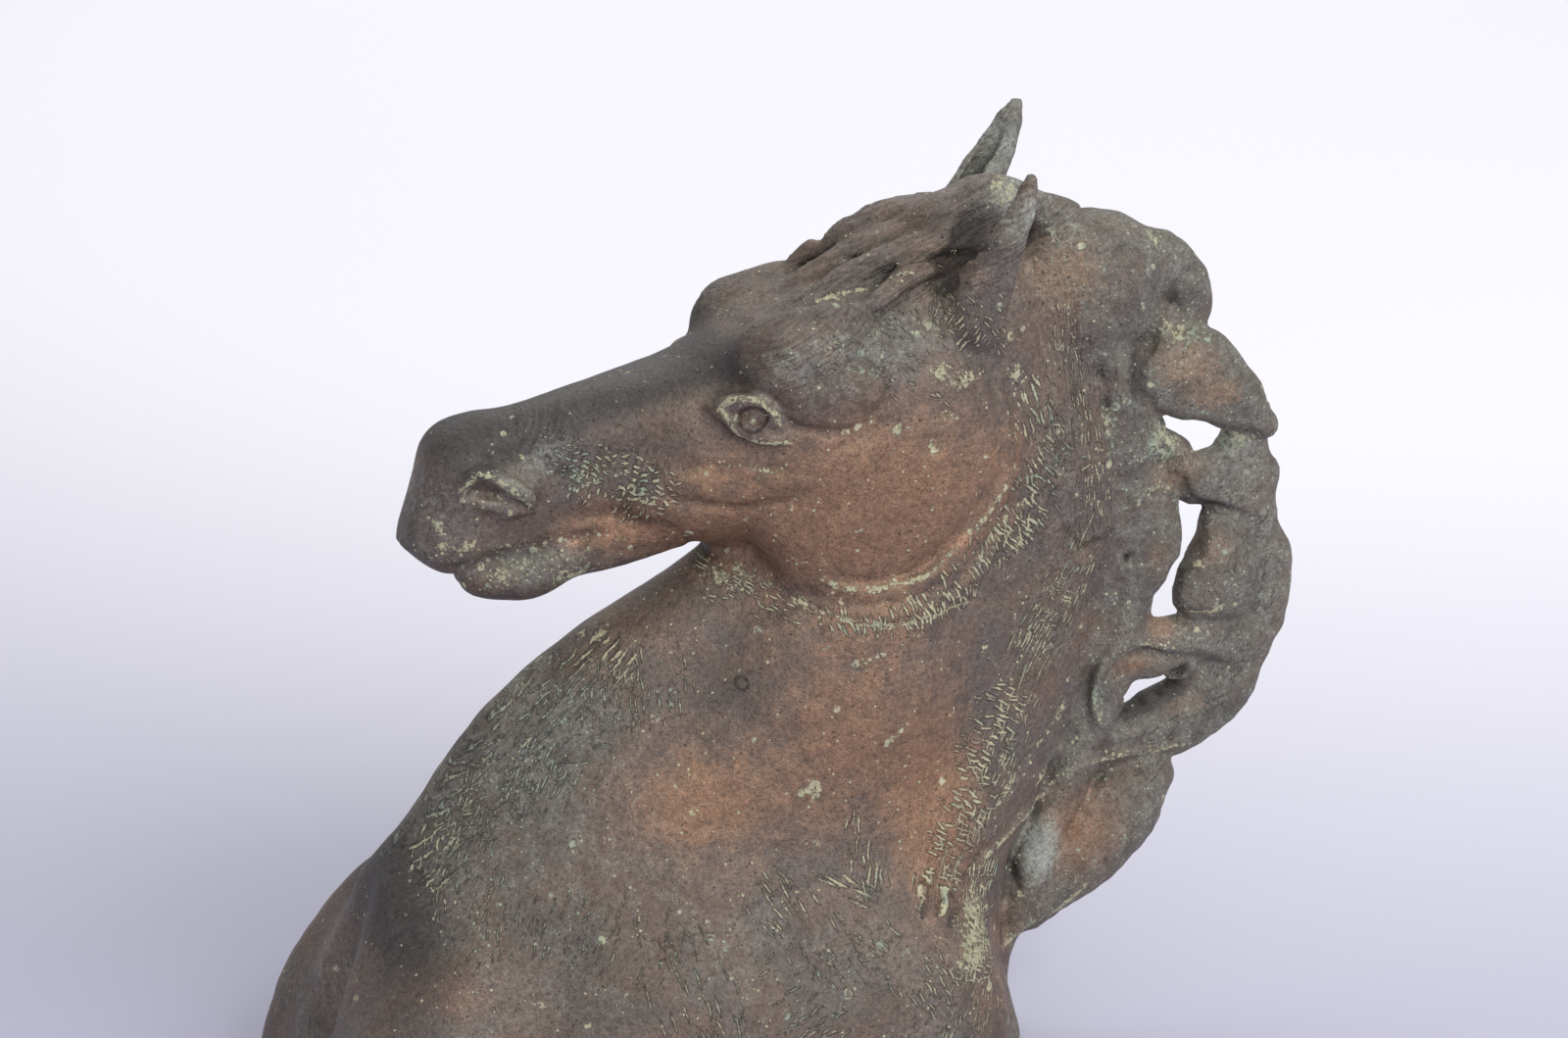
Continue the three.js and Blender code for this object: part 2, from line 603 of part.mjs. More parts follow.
// A closed net of triangles where the field changes sign.
function drawNet(field) {
  const planes = [0, 1, 2].map((axis) => gridPlanes(
    BUST_BOX[0][axis], BUST_BOX[1][axis], FINE_BOX[0][axis], FINE_BOX[1][axis],
  ));
  const n = planes.map((p) => p.length);
  const value = sampleField(field, planes);
  const corners = [0, 1, 2, 3, 4, 5, 6, 7];
  const offset = corners.map((c) => (c & 1) + n[0] * (((c >> 1) & 1) + n[1] * ((c >> 2) & 1)));
  const place = (p) => [p % n[0], Math.floor(p / n[0]) % n[1], Math.floor(p / (n[0] * n[1]))];
  const points = [];
  const known = new Map();
  const crossing = (p, q) => {
    const key = p < q ? p * value.length + q : q * value.length + p;
    if (known.has(key)) return known.get(key);
    const f = THREE.MathUtils.clamp(value[p] / (value[p] - value[q]), 0.04, 0.96);
    const a = place(p);
    const b = place(q);
    known.set(key, points.length);
    points.push(a.map((c, axis) => THREE.MathUtils.lerp(planes[axis][c], planes[axis][b[axis]], f)));
    return points.length - 1;
  };
  const triangles = [];
  for (let base = 0; base + offset[7] < value.length; base++) {
    const [i, j] = place(base);
    if (i === n[0] - 1 || j === n[1] - 1) continue;
    const inside = offset.map((o) => value[base + o] < 0);
    if (inside.every((x) => x === inside[0])) continue;
    for (const walk of WALKS) {
      const within = walk.filter((c) => inside[c]);
      if (within.length === 0 || within.length === 4) continue;
      const [a, b, c, d] = walk.map((corner) => base + offset[corner]);
      // Each case names the corners so that the one or two inside come first, with the same turn.
      const mask = walk.reduce((sum, corner, bit) => sum + (inside[corner] ? 1 << bit : 0), 0);
      const [p, q, r, s] = {
        1: [a, b, c, d], 2: [b, a, d, c], 4: [c, a, b, d], 8: [d, a, c, b],
        14: [a, b, c, d], 13: [b, a, d, c], 11: [c, a, b, d], 7: [d, a, c, b],
        3: [a, b, c, d], 5: [c, a, b, d], 6: [b, c, a, d],
        9: [a, d, b, c], 10: [d, b, a, c], 12: [c, d, a, b],
      }[mask];
      if (within.length === 2) {
        const ring = [crossing(p, r), crossing(p, s), crossing(q, s), crossing(q, r)];
        triangles.push([ring[0], ring[1], ring[2]], [ring[0], ring[2], ring[3]]);
      } else {
        const three = [crossing(p, q), crossing(p, r), crossing(p, s)];
        triangles.push(within.length === 1 ? three : three.reverse());
      }
    }
  }
  return { points, triangles };
}

// Thins a closed net to the wanted number of triangles. The edge whose loss moves the surface least
// goes first, and none goes that would fold the surface or join it to itself. A heavier place keeps
// more of its triangles.
function thin({ points, triangles }, wanted, weight) {
  const faces = triangles.map((t) => t.slice());
  const around = points.map(() => new Set());
  faces.forEach((t, f) => t.forEach((v) => around[v].add(f)));
  const normalOf = (t, moved, to) => {
    const [a, b, c] = t.map((v) => (v === moved ? to : points[v]));
    const u = [b[0] - a[0], b[1] - a[1], b[2] - a[2]];
    const w = [c[0] - a[0], c[1] - a[1], c[2] - a[2]];
    return [u[1] * w[2] - u[2] * w[1], u[2] * w[0] - u[0] * w[2], u[0] * w[1] - u[1] * w[0]];
  };
  // Each point's error is a quadric: the summed square distance to the planes round it.
  const quadric = points.map(() => new Float64Array(10));
  for (const t of faces) {
    const n = normalOf(t);
    const size = Math.hypot(...n) || 1;
    const [a, b, c] = n.map((x) => x / size);
    const p = points[t[0]];
    const d = -(a * p[0] + b * p[1] + c * p[2]);
    const q = [a * a, a * b, a * c, a * d, b * b, b * c, b * d, c * c, c * d, d * d];
    const heavy = size * weight(p);
    for (const v of t) q.forEach((x, i) => { quadric[v][i] += x * heavy; });
  }
  const error = (q, [x, y, z]) => q[0] * x * x + 2 * q[1] * x * y + 2 * q[2] * x * z + 2 * q[3] * x
    + q[4] * y * y + 2 * q[5] * y * z + 2 * q[6] * y + q[7] * z * z + 2 * q[8] * z + q[9];
  // The point with the least error, or the middle of the edge where that is ill defined.
  const bestPoint = (q, a, b) => {
    const middle = a.map((x, i) => (x + b[i]) / 2);
    const m = new THREE.Matrix3().set(q[0], q[1], q[2], q[1], q[4], q[5], q[2], q[5], q[7]);
    const span = Math.hypot(a[0] - b[0], a[1] - b[1], a[2] - b[2]);
    if (Math.abs(m.determinant()) > 1e-3) {
      const v = new THREE.Vector3(-q[3], -q[6], -q[8]).applyMatrix3(m.invert());
      if (Math.hypot(v.x - middle[0], v.y - middle[1], v.z - middle[2]) < span) return [v.x, v.y, v.z];
    }
    return [a, b, middle].reduce((best, p) => (error(q, p) < error(q, best) ? p : best), middle);
  };
  const heap = [];
  const push = (item) => {
    let i = heap.push(item) - 1;
    while (i > 0) {
      const up = (i - 1) >> 1;
      if (heap[up].cost <= item.cost) break;
      heap[i] = heap[up];
      i = up;
    }
    heap[i] = item;
  };
  const pop = () => {
    const top = heap[0];
    const item = heap.pop();
    let i = 0;
    while (2 * i + 1 < heap.length) {
      let down = 2 * i + 1;
      if (down + 1 < heap.length && heap[down + 1].cost < heap[down].cost) down++;
      if (item.cost <= heap[down].cost) break;
      heap[i] = heap[down];
      i = down;
    }
    if (heap.length) heap[i] = item;
    return top;
  };
  const version = new Uint32Array(points.length);
  const offer = (a, b) => {
    const q = quadric[a].map((x, i) => x + quadric[b][i]);
    const to = bestPoint(q, points[a], points[b]);
    const span = Math.hypot(...points[a].map((x, i) => x - points[b][i]));
    push({ a, b, to, cost: error(q, to) + 1e-4 * span, ages: version[a] + ':' + version[b] });
  };
  const neighbours = (v) => {
    const found = new Set();
    for (const f of around[v]) for (const w of faces[f]) if (w !== v) found.add(w);
    return found;
  };
  points.forEach((_, v) => neighbours(v).forEach((w) => { if (v < w) offer(v, w); }));
  let left = faces.length;
  while (left > wanted && heap.length) {
    const { a, b, to, ages } = pop();
    if (ages !== version[a] + ':' + version[b] || !around[a].size || !around[b].size) continue;
    const near = neighbours(a);
    const shared = [...neighbours(b)].filter((w) => near.has(w));
    if (shared.length !== 2) continue;
    const folds = [a, b].some((v) => [...around[v]].some((f) => {
      if (faces[f].includes(a) && faces[f].includes(b)) return false;
      const before = normalOf(faces[f]);
      const after = normalOf(faces[f], v, to);
      const dot = before[0] * after[0] + before[1] * after[1] + before[2] * after[2];
      return dot < 0.3 * Math.hypot(...before) * Math.hypot(...after);
    }));
    if (folds) continue;
    points[a] = to;
    quadric[a] = quadric[a].map((x, i) => x + quadric[b][i]);
    for (const f of around[b]) {
      if (faces[f].includes(a)) {
        faces[f].forEach((v) => around[v].delete(f));
        faces[f] = null;
        left--;
      } else {
        faces[f] = faces[f].map((v) => (v === b ? a : v));
        around[a].add(f);
      }
    }
    around[b] = new Set();
    version[a]++;
    version[b]++;
    neighbours(a).forEach((w) => offer(a, w));
  }
  return { points, triangles: faces.filter(Boolean) };
}

function toGeometry({ points, triangles }) {
  const corners = triangles.flatMap((t) => t.flatMap((v) => points[v]));
  const geometry = new THREE.BufferGeometry();
  geometry.setAttribute('position', new THREE.Float32BufferAttribute(corners, 3));
  return geometry;
}

const wasm = await Module();
wasm.setup();

function toSolid(geometry) {
  const bare = geometry.clone();
  bare.deleteAttribute('normal');
  bare.deleteAttribute('uv');
  const merged = mergeVertices(bare, 1e-4);
  return new wasm.Manifold(new wasm.Mesh({
    numProp: 3,
    vertProperties: merged.attributes.position.array,
    triVerts: new Uint32Array(merged.index.array),
  }));
}

function fromSolid(solid) {
  const mesh = solid.getMesh();
  const geometry = new THREE.BufferGeometry();
  geometry.setAttribute('position', new THREE.BufferAttribute(mesh.vertProperties, mesh.numProp));
  geometry.setIndex(new THREE.BufferAttribute(mesh.triVerts, 1));
  const flat = geometry.toNonIndexed();
  flat.computeVertexNormals();
  return flat;
}

// The bust is drawn a little too long and cut off flat, so that it stands on its underside.
function horseBust() {
  const net = drawNet(bustField());
  const weight = ([x, , z]) => (x < FINE_BOX[1][0] && z > FINE_BOX[0][2] ? HEAD_WEIGHT : 1);
  const thinned = thin(net, TRIANGLES, weight);
  const long = toSolid(toGeometry(thinned).scale(SCALE, SCALE, SCALE));
  const block = new THREE.BoxGeometry(400 * SCALE, 300 * SCALE, 60 * SCALE).translate(0, 0, -30 * SCALE);
  const mesh = new THREE.Mesh(fromSolid(long.subtract(toSolid(block))), BRONZE);
  mesh.name = 'horse_bust';
  return mesh;
}

const horse = new THREE.Group();
horse.add(horseBust());

export default horse;
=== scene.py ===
# Looks of the bronze horse bust: its cast surface, chased strokes and patina, with floor, light and camera.
# Forms are in millimetres, as in the construction, and turn into metres when the mesh is made.
import math

import bmesh
import bpy
import numpy as np
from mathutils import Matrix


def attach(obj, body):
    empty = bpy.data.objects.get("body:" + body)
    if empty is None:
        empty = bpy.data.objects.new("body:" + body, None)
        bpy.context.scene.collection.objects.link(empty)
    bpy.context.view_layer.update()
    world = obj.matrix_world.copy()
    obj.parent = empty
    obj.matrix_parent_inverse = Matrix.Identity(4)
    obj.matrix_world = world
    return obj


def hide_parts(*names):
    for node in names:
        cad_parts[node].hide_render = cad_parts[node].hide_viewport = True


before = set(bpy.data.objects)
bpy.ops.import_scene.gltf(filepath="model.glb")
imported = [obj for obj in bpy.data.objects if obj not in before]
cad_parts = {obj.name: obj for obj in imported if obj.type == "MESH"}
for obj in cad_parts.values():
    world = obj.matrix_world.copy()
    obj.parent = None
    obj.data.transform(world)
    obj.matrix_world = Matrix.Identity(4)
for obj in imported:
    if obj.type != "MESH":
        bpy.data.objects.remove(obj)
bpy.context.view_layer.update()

import openvdb
from mathutils import Vector

MM = 0.001
PIECE = "horse_bust_bronze"
GRID_STEP = 0.95  # finest spacing at which the surface is found
TRIANGLES = 194000  # of the finished mesh
SLIVER = 0.02  # edges shorter than this are closed up
BUST_BOX = ((-138, -68, -5), (134, 68, 230))  # all the space that the surface is looked for in

# Forms of the construction, repeated here because the finer relief is laid on the same field.
# The head's own frame: along runs from brow to lips, up from jaw to forehead, side out to the left.
HEAD_AT = (-7.4, 0, 159.3)
HEAD_PITCH = 18.8

# Sections of the head: along, top line, lower line, half width above, half width below.
HEAD_SECTIONS = [
    (-66, 15, -10, 13, 11), (-52, 20, -25, 18, 14), (-35, 22.5, -36, 21.5, 16), (-15, 23.5, -40, 23.5, 16.5),
    (0, 22.5, -36, 22.5, 15.5), (12, 20.8, -29, 19.8, 13.5), (22, 21.6, -22, 16.4, 11.5),
    (32, 22.8, -18, 13.4, 9.8), (44, 23.8, -14.5, 11.5, 9), (52, 25, -12, 11.6, 9.2),
    (58, 26.7, -9.5, 11.8, 9.4), (65, 27, -5.6, 11.8, 9.6), (70, 24.8, -3.2, 10.6, 9),
    (75, 18, -1.6, 9, 8), (79.5, 12, 1, 7.4, 6.6), (83.5, 8.6, 4, 5.5, 5),
]
HEAD_SQUARENESS = 2.5

# Sections of neck and breast: height, front, back, half width, its share in front and behind.
NECK_SECTIONS = [
    (-12, -124, 60, 57, 0.93, 0.86), (0, -122, 57, 57, 0.93, 0.86), (15, -116.5, 54, 56, 0.92, 0.84),
    (30, -111.5, 52, 53, 0.9, 0.82), (45, -105, 54, 49, 0.87, 0.8), (58, -99.4, 60, 44.5, 0.84, 0.76),
    (70, -89, 66, 39, 0.82, 0.72), (83, -80.4, 71, 33.5, 0.82, 0.68), (97, -68.8, 76, 28, 0.8, 0.7),
    (111, -50.5, 79.5, 24, 0.8, 0.74), (125, -25.5, 82, 20.8, 0.82, 0.78), (140, -5, 82, 18.6, 0.86, 0.8),
    (155, 8, 78, 17.6, 0.9, 0.8), (170, 18, 71, 16.8, 0.9, 0.8), (184, 30, 61, 15, 0.9, 0.7),
    (194, 42, 52, 8, 0.9, 0.8),
]
NECK_SQUARENESS = 2.1


def form(name, at, size, turn=0, blend=1.0, square=2):
    return {"name": name, "at": at, "size": size, "turn": turn, "blend": blend, "square": square}


# Masses of the head on both sides: along, up and side of the centre and of the half sizes.
HEAD_MASSES = [
    form("cheek", (-19.5, -15, 13), (31, 29.5, 12.4), 0, 3, 2.7),
    form("cheek front", (12, -5, 10.5), (23, 14, 8.8), 8, 6),
    form("brow", (-14.5, 11.4, 17.6), (15, 12.8, 8.8), -20, 4.5, 2.2),
    form("upper brow", (-6.5, 17, 16.2), (9.5, 8.6, 7.6), 20, 7),
    form("nostril wing", (61, 14.4, 7), (11, 7.4, 5.8), 25, 3.5),
    form("upper lip", (71.5, 4.6, 3), (9.2, 7.8, 8.2), -55, 4),
    form("lower lip", (65, -8.4, 2.5), (9.6, 6.2, 6.6), 12, 3),
    form("chin", (57.5, -11.6, 2), (9, 6, 6.8), 0, 3),
    form("jaw bar", (36, -12.4, 6), (19, 5.8, 4.6), 6, 4),
]
HEAD_HOLLOWS = [
    form("eye socket", (4.8, 8.8, 25.2), (8, 4.6, 6.2), 42, 1.2),
    form("nostril", (61.4, 12.4, 15.4), (6.4, 2.8, 5.2), 40, 1),
    form("nose fold", (53.5, 19, 14.6), (8, 1.6, 4.2), 30, 2.4),
    form("mouth slit", (61, -5.4, 12.6), (15.5, 0.7, 5.6), 14, 1.2),
    form("nose flank", (37, 8, 20), (15, 6, 7), 0, 6),
    form("lip groove", (44, -2.4, 14), (10, 1.8, 5), 20, 2.6),
    form("brow edge", (-15, -4.4, 27.5), (13, 1.8, 3.4), -4, 1.6),
    form("brow front", (5, 17, 25.5), (3.4, 4.4, 4), -20, 2.5),
]
EYE = form("eye", (2.6, 8.6, 14.8), (8.1, 8.1, 8.1), 0, 0.4)


def lock(name, path, wide, thick, side=1):
    return {"name": name, "path": path, "wide": wide, "thick": thick, "side": side}


# Strands are swept flat ovals: points along, up, side, with half width and half thickness at each.
EARS = [
    lock("left ear", [(-49, 6, 16), (-55, 14, 18.2), (-60.5, 20, 19.2), (-66.3, 25.4, 19.2),
                      (-70, 29.8, 18.8), (-72.2, 32.4, 18.4)],
         (8.2, 6.6, 4.8, 3.5, 2.4, 1.3), (5.4, 4.6, 3.6, 2.7, 1.9, 1.2)),
    lock("right ear", [(-58, 10, 16), (-65, 16.5, 18), (-71.6, 22.8, 18.8), (-76.6, 27.4, 18.8),
                       (-81.2, 32.4, 18.4), (-84.6, 36.2, 18)],
         (8.6, 7.6, 6.3, 5.2, 3.9, 1.9), (5.4, 4.6, 3.6, 2.7, 1.9, 1.2), side=-1),
]
EAR_THIN = (0.35, -0.1, 0.9)
EAR_BLEND = 2.5
EAR_CUP = {"forward": 3.2, "out": -1.4, "size": 0.5, "blend": 1}

FORELOCK = [
    lock("right lock", [(-66, 19, -6), (-56, 24.5, -9), (-46, 26.8, -10), (-36, 26, -11.5),
                        (-29, 23.4, -13)], (5, 6, 5.5, 4.6, 2.4), (4, 3.6, 3.4, 3.4, 2.4)),
    lock("knob", [(-28, 24.6, -14.5), (-24, 23.4, -15.5)], (2.6, 2), (2.6, 2)),
    lock("middle lock", [(-63, 20, 0), (-50, 24.6, -1.5), (-38, 25, -3.6), (-26, 24, -4.6),
                         (-12, 22.6, -4)], (5, 5, 4.6, 3.6, 1.4), (3.5, 3.6, 3, 2.4, 1.2)),
    lock("left lock", [(-60, 18, 5), (-47, 23, 5.5), (-34, 23.2, 4.6), (-20, 22.6, 5.6), (-7, 21.4, 7.5)],
         (5, 5, 4.4, 3.4, 1.4), (3.2, 3.4, 3, 2.2, 1.2)),
    lock("side lock", [(-50, 17, 10), (-42, 20.4, 11.5), (-33, 19.6, 14.5), (-24, 18.6, 16.5)],
         (4, 4, 3.4, 1.6), (2.6, 3, 2.4, 1.4)),
]
FORELOCK_THIN = (0.1, 1, 0.1)
FORELOCK_BLEND = 1.4
HAIR_GROOVES = (2.3, 0.7)  # their pitch and depth

# Lids, rims and folds of skin on both sides of the head.
FOLDS = [
    lock("upper lid", [(11.2, 12.8, 16.6), (7.6, 13.9, 19.6), (3.8, 12.9, 21.8), (0.6, 9.9, 22.8),
                       (-1, 6, 23), (-2.6, 1.8, 22.6)],
         (1, 1.5, 1.8, 1.8, 1.7, 1.2), (1, 1.5, 1.7, 1.7, 1.6, 1.1)),
    lock("lower lid", [(11.2, 12.4, 16.6), (9.4, 10.3, 19.2), (7.4, 7.5, 20.8), (4.8, 5, 21.8),
                       (1.8, 2.8, 22.3), (-2.6, 1, 22.4)],
         (1, 1.4, 1.6, 1.7, 1.6, 1.2), (1, 1.4, 1.6, 1.6, 1.5, 1.1)),
    lock("fold below the eye", [(18, 3.6, 16.6), (8.5, -2.1, 19.8), (-1, -8, 22.6)], (1, 2, 1), (1, 1.6, 1)),
    lock("cheek ridge", [(28, 1.4, 13), (21, -3, 15.6), (13, -7.4, 18), (5, -10, 20)],
         (1.4, 2.4, 2.6, 1), (1.2, 2.2, 2.2, 0.8)),
    lock("nostril rim", [(69.4, 13.6, 8.6), (67.4, 17.8, 10.8), (62.5, 18.6, 12.4), (58, 14.8, 13.4),
                         (54.4, 9.8, 13), (54.6, 6, 12), (60, 6.6, 12)],
         (1.2, 1.5, 1.5, 1.5, 1.5, 1.4, 1.2), (1.2, 1.5, 1.5, 1.5, 1.5, 1.4, 1.2)),
    lock("mouth corner", [(47, -4.6, 7.6), (40, -6.2, 9), (33, -9.6, 9.8), (27.6, -15.4, 8.2)],
         (1.1, 1.8, 1.8, 1.2), (1, 1.5, 1.5, 1.2)),
    lock("jaw rim", [(7, -31.6, 16), (-1, -38.4, 18.6), (-10, -43.2, 19.6), (-22, -44, 20.4),
                     (-34, -39.6, 19.8), (-44.6, -30.4, 18.4), (-49, -18, 17), (-49.4, -8, 15.6)],
         (1.2, 2.4, 2.8, 3, 3, 2.8, 2.6, 2), (1.2, 2.2, 2.6, 2.8, 2.8, 2.6, 2.2, 1.4)),
    lock("throat fold", [(1, -42.5, 18), (-8, -48, 20.6), (-19, -50.4, 21.2), (-31, -48, 19.6),
                         (-41, -41.6, 16.4)], (1, 2, 2.4, 2.2, 1), (1, 2, 2.2, 2, 1)),
]
FOLD_THIN = (0, 0, 1)
FOLD_BLEND = 1.4

# Locks of the mane lie in the plane of the crest. Points are x, y and z of the bust.
MANE = [
    lock("crest band", [(48, 0, 192), (63, 0, 181), (76, 0, 164), (82, 0, 145), (84.5, 0, 125),
                        (80.5, 0, 104), (75, 0, 82), (66, 0, 60), (57, 0, 40), (50, 0, 22)],
         (5, 8, 9, 9, 9.5, 9.5, 9, 8, 7, 5), (7, 9, 9.5, 8.5, 8, 8.5, 9, 10, 12, 12)),
    lock("poll lock", [(38, 0, 201.5), (47, 0, 204), (58, -0.5, 201.2), (68, -1, 197.4)],
         (5.6, 6.2, 5.2, 4.6), (7.5, 6.5, 5.6, 5)),
    lock("poll end", [(79, 0, 187.5), (89, 0, 185.5), (95.4, 0, 180.4), (96.8, 0, 175.6), (93.5, 0, 170)],
         (8, 7.6, 6.4, 5.6, 4.6), (6.5, 6, 5, 4.4, 4)),
    lock("poll fill", [(82, 0, 178), (89, 0, 172.5), (92, 0, 166)], (6, 6, 6), (5, 4.4, 4.4)),
    lock("high leaf", [(84, -3, 161), (96.9, -4, 159.8), (107.7, -3.4, 152.6), (116.6, -2, 145)],
         (8.5, 10.8, 7.8, 3.2), (6, 5.6, 4.8, 3)),
    lock("window lump", [(84, -1, 147), (89.3, -2, 143.6), (93, -2, 140.6), (97, -1, 136.4)],
         (5, 5, 4.8, 4.6), (5.5, 5.4, 5, 4.6)),
    lock("bridge", [(80, 0, 136), (93, 0.5, 133.6), (104, 1.5, 132)], (7.5, 5.4, 7), (6, 4.6, 4.6)),
    lock("second leaf", [(113, 1, 143), (112, 1, 132), (114.5, 1, 122)], (5.6, 10, 7.4), (4, 5, 4.6)),
    lock("window edge", [(89.5, -1.4, 126.5), (90.6, -2.2, 119.5), (88, -2.4, 112.5)],
         (6.6, 6, 4.6), (6, 6, 6.4)),
    lock("inner lobe", [(107.4, -1, 122), (105.6, -3, 112.5), (105, -3.4, 104.4)],
         (6.6, 9.6, 11), (4, 5.8, 5.8)),
    lock("outer curl", [(115.8, 1, 121), (118.8, 1.5, 108.4), (117.2, 1, 99), (112.8, 1, 88),
                        (108.6, 0, 79)], (6, 8.2, 8.6, 8, 8), (4.4, 4.8, 4.8, 4.6, 4.4)),
    lock("upper tie", [(80, -1, 97), (92, -2, 95), (104, -2, 95), (114, -1, 91)],
         (7, 4.6, 6, 7), (6, 4.8, 4.8, 4.4)),
    lock("flap", [(75, -1, 89), (85, -2.6, 90.4), (96, -1.6, 88)], (5, 4.8, 4.2), (5, 4.8, 4.4)),
    lock("lower tie", [(72, 0, 67), (84, 0.5, 69.5), (95, 1, 72), (105, 1, 76.5), (112, 0, 83)],
         (6, 7.2, 9.6, 10, 7.4), (6.5, 5.5, 5.2, 4.8, 4.4)),
    lock("low leaf", [(90, -1, 61.5), (80.5, -3.5, 50.8), (69.5, -4, 41.5), (58, -2, 32)],
         (7.5, 11.4, 10.6, 7), (5.4, 6.6, 7, 8)),
]
POLL_LOBE = form("poll lobe", (69.5, 0, 183), (18, 11.6, 16.4), 0, 0, 2.8)
MANE_THIN = (0, 1, 0)
MANE_BLEND = 1.4
CREST_BLEND = 3
NECK_BLEND = 5
BODY_REACH = 24  # how far the body's wide blends reach
FAR_OFF = 60.0  # a distance where there is no mane yet

# Windows and cuts of the mane, then masses and grooves of the body on both sides.
WINDOWS = [
    form("cut poll lock", (73.4, 0, 204.3), (4.2, 14, 5.2), 0, 0.6, 6),
    form("upper window", (101.4, 0, 142.3), (3, 30, 3.5), 0, 1.2),
    form("upper window's tip", (97.2, 0, 146.4), (6.4, 30, 1.7), -14, 1.2),
    form("middle window", (98.2, 0, 119.2), (3.1, 30, 6.9), -20, 1.2),
    form("middle window's foot", (92.9, 0, 108.4), (2.3, 30, 7.6), -6, 1.2),
    form("lower window", (87.2, 0, 82.9), (6.6, 30, 1.6), 25, 1.2),
    form("slit below the flap", (90.5, -7.4, 84.4), (12.5, 4.4, 1.9), 27, 1.2),
]
BODY_MASSES = [
    form("breast muscle", (-87.6, 27.4, 3), (31.6, 18, 52), -16, 9),
    form("shoulder", (-40, 36, 4), (40, 19, 46), -24, 12),
    form("shoulder blade", (10, 31, 8), (34, 18, 44), -10, 12),
    form("neck muscle", (4, 13, 90), (26, 15.5, 50), -34, 10),
]
BODY_GROOVES = [
    form("breast groove", (-121, 0, 22), (14, 8, 62), -16, 10),
    form("neck groove", (-58, 46, 78), (10, 9, 36), -48, 10),
]


# Smooth union of two distances, over a band of width k.
def join(a, b, k):
    h = np.maximum(k - np.abs(a - b), 0) / k
    return np.minimum(a, b) - h * h * k / 4


# Smooth cut of b out of a.
def carve(a, b, k):
    return -join(-a, b, k)


def cos_sin(degrees):
    return math.cos(math.radians(degrees)), math.sin(math.radians(degrees))


def smoothstep(t, low=0.0, high=1.0):
    f = np.clip((t - low) / (high - low), 0, 1)
    return f * f * (3 - 2 * f)


# Joins or cuts a form only at the points within reach of its box. Elsewhere it changes nothing.
def apply(d, points, distance, box, blend, combine, reach=16):
    low, high = (np.asarray(edge, float) for edge in box)
    near = np.all((points > low - reach) & (points < high + reach), axis=1)
    if near.any():
        d[near] = combine(d[near], distance(points[near]), blend)
    return d


# Distance to an oval with centre at and half sizes size, turned in the plane of the axes first and last.
def oval(f, first=0, last=2):
    c, s = cos_sin(f["turn"])
    middle = 3 - first - last
    at, size, power = f["at"], f["size"], f["square"]

    def distance(p):
        dx, dz = p[:, first] - at[first], p[:, last] - at[last]
        parts = [np.abs((dx * c + dz * s) / size[first]), np.abs((p[:, middle] - at[middle]) / size[middle]),
                 np.abs((-dx * s + dz * c) / size[last])]
        near = np.maximum(sum(q ** power for q in parts) ** (1 / power), 1e-6)
        halves = (size[first], size[middle], size[last])
        steep = np.sqrt(sum(((q / near) ** (power - 1) / h) ** 2 for q, h in zip(parts, halves)))
        return np.where(near > 1e-5, (near - 1) / np.maximum(steep, 1e-9), -min(size))

    reach = math.hypot(size[first], size[last])
    spread = np.array([reach, reach, reach])
    spread[middle] = size[middle]
    return distance, (np.array(at) - spread, np.array(at) + spread)


# The columns of a table of sections, smoothed by a cubic and looked up by the first column.
def smooth_table(rows, samples=400):
    rows = np.array(rows, float)
    slope = np.empty_like(rows)
    for k in range(len(rows)):
        a, b = rows[max(k - 1, 0)], rows[min(k + 1, len(rows) - 1)]
        slope[k] = (b - a) / (b[0] - a[0])
    t = np.linspace(rows[0, 0], rows[-1, 0], samples + 1)
    i = np.clip(np.searchsorted(rows[:, 0], t, side="left") - 1, 0, len(rows) - 2)
    span = (rows[i + 1, 0] - rows[i, 0])[:, None]
    f = (t[:, None] - rows[i, :1]) / span
    g = 1 - f
    values = (g * g * (1 + 2 * f) * rows[i] + f * f * (3 - 2 * f) * rows[i + 1]
              + span * f * g * (g * slope[i] - f * slope[i + 1]))
    return lambda at: [np.interp(at, t, values[:, c]) for c in range(1, rows.shape[1])]


# Distance to a rounded section with half sizes tall and wide.
def section(up, side, tall, wide, power):
    a, b = np.abs(up / tall), np.abs(side / wide)
    near = np.maximum((a ** power + b ** power) ** (1 / power), 1e-6)
    steep = np.hypot((a / near) ** (power - 1) / tall, (b / near) ** (power - 1) / wide)
    return np.where(near > 1e-5, (near - 1) / np.maximum(steep, 1e-9), -np.minimum(tall, wide))


def head_loft(p):
    along, up, side = p.T
    top, bottom, above, below = HEAD_TABLE(along)
    tall = (top - bottom) / 2
    t = (up - (top + bottom) / 2) / tall
    wide = below + (above - below) * smoothstep(t, -1, 1)
    round_ = section(t * tall, side, tall, wide, HEAD_SQUARENESS)
    return -join(-round_, -np.maximum(HEAD_SECTIONS[0][0] - along, along - HEAD_SECTIONS[-1][0]), 6)


def neck_loft(p):
    x, y, z = p.T
    front, back, half, fore, aft = NECK_TABLE(z)
    long = (back - front) / 2
    t = (x - (front + back) / 2) / long
    wide = half * (fore + (aft - fore) * smoothstep(t, -1, 1))
    round_ = section(t * long, y, long, wide, NECK_SQUARENESS)
    return -join(-round_, -(z - NECK_SECTIONS[-1][0]), 10)


HEAD_TABLE = smooth_table(HEAD_SECTIONS)
NECK_TABLE = smooth_table(NECK_SECTIONS)


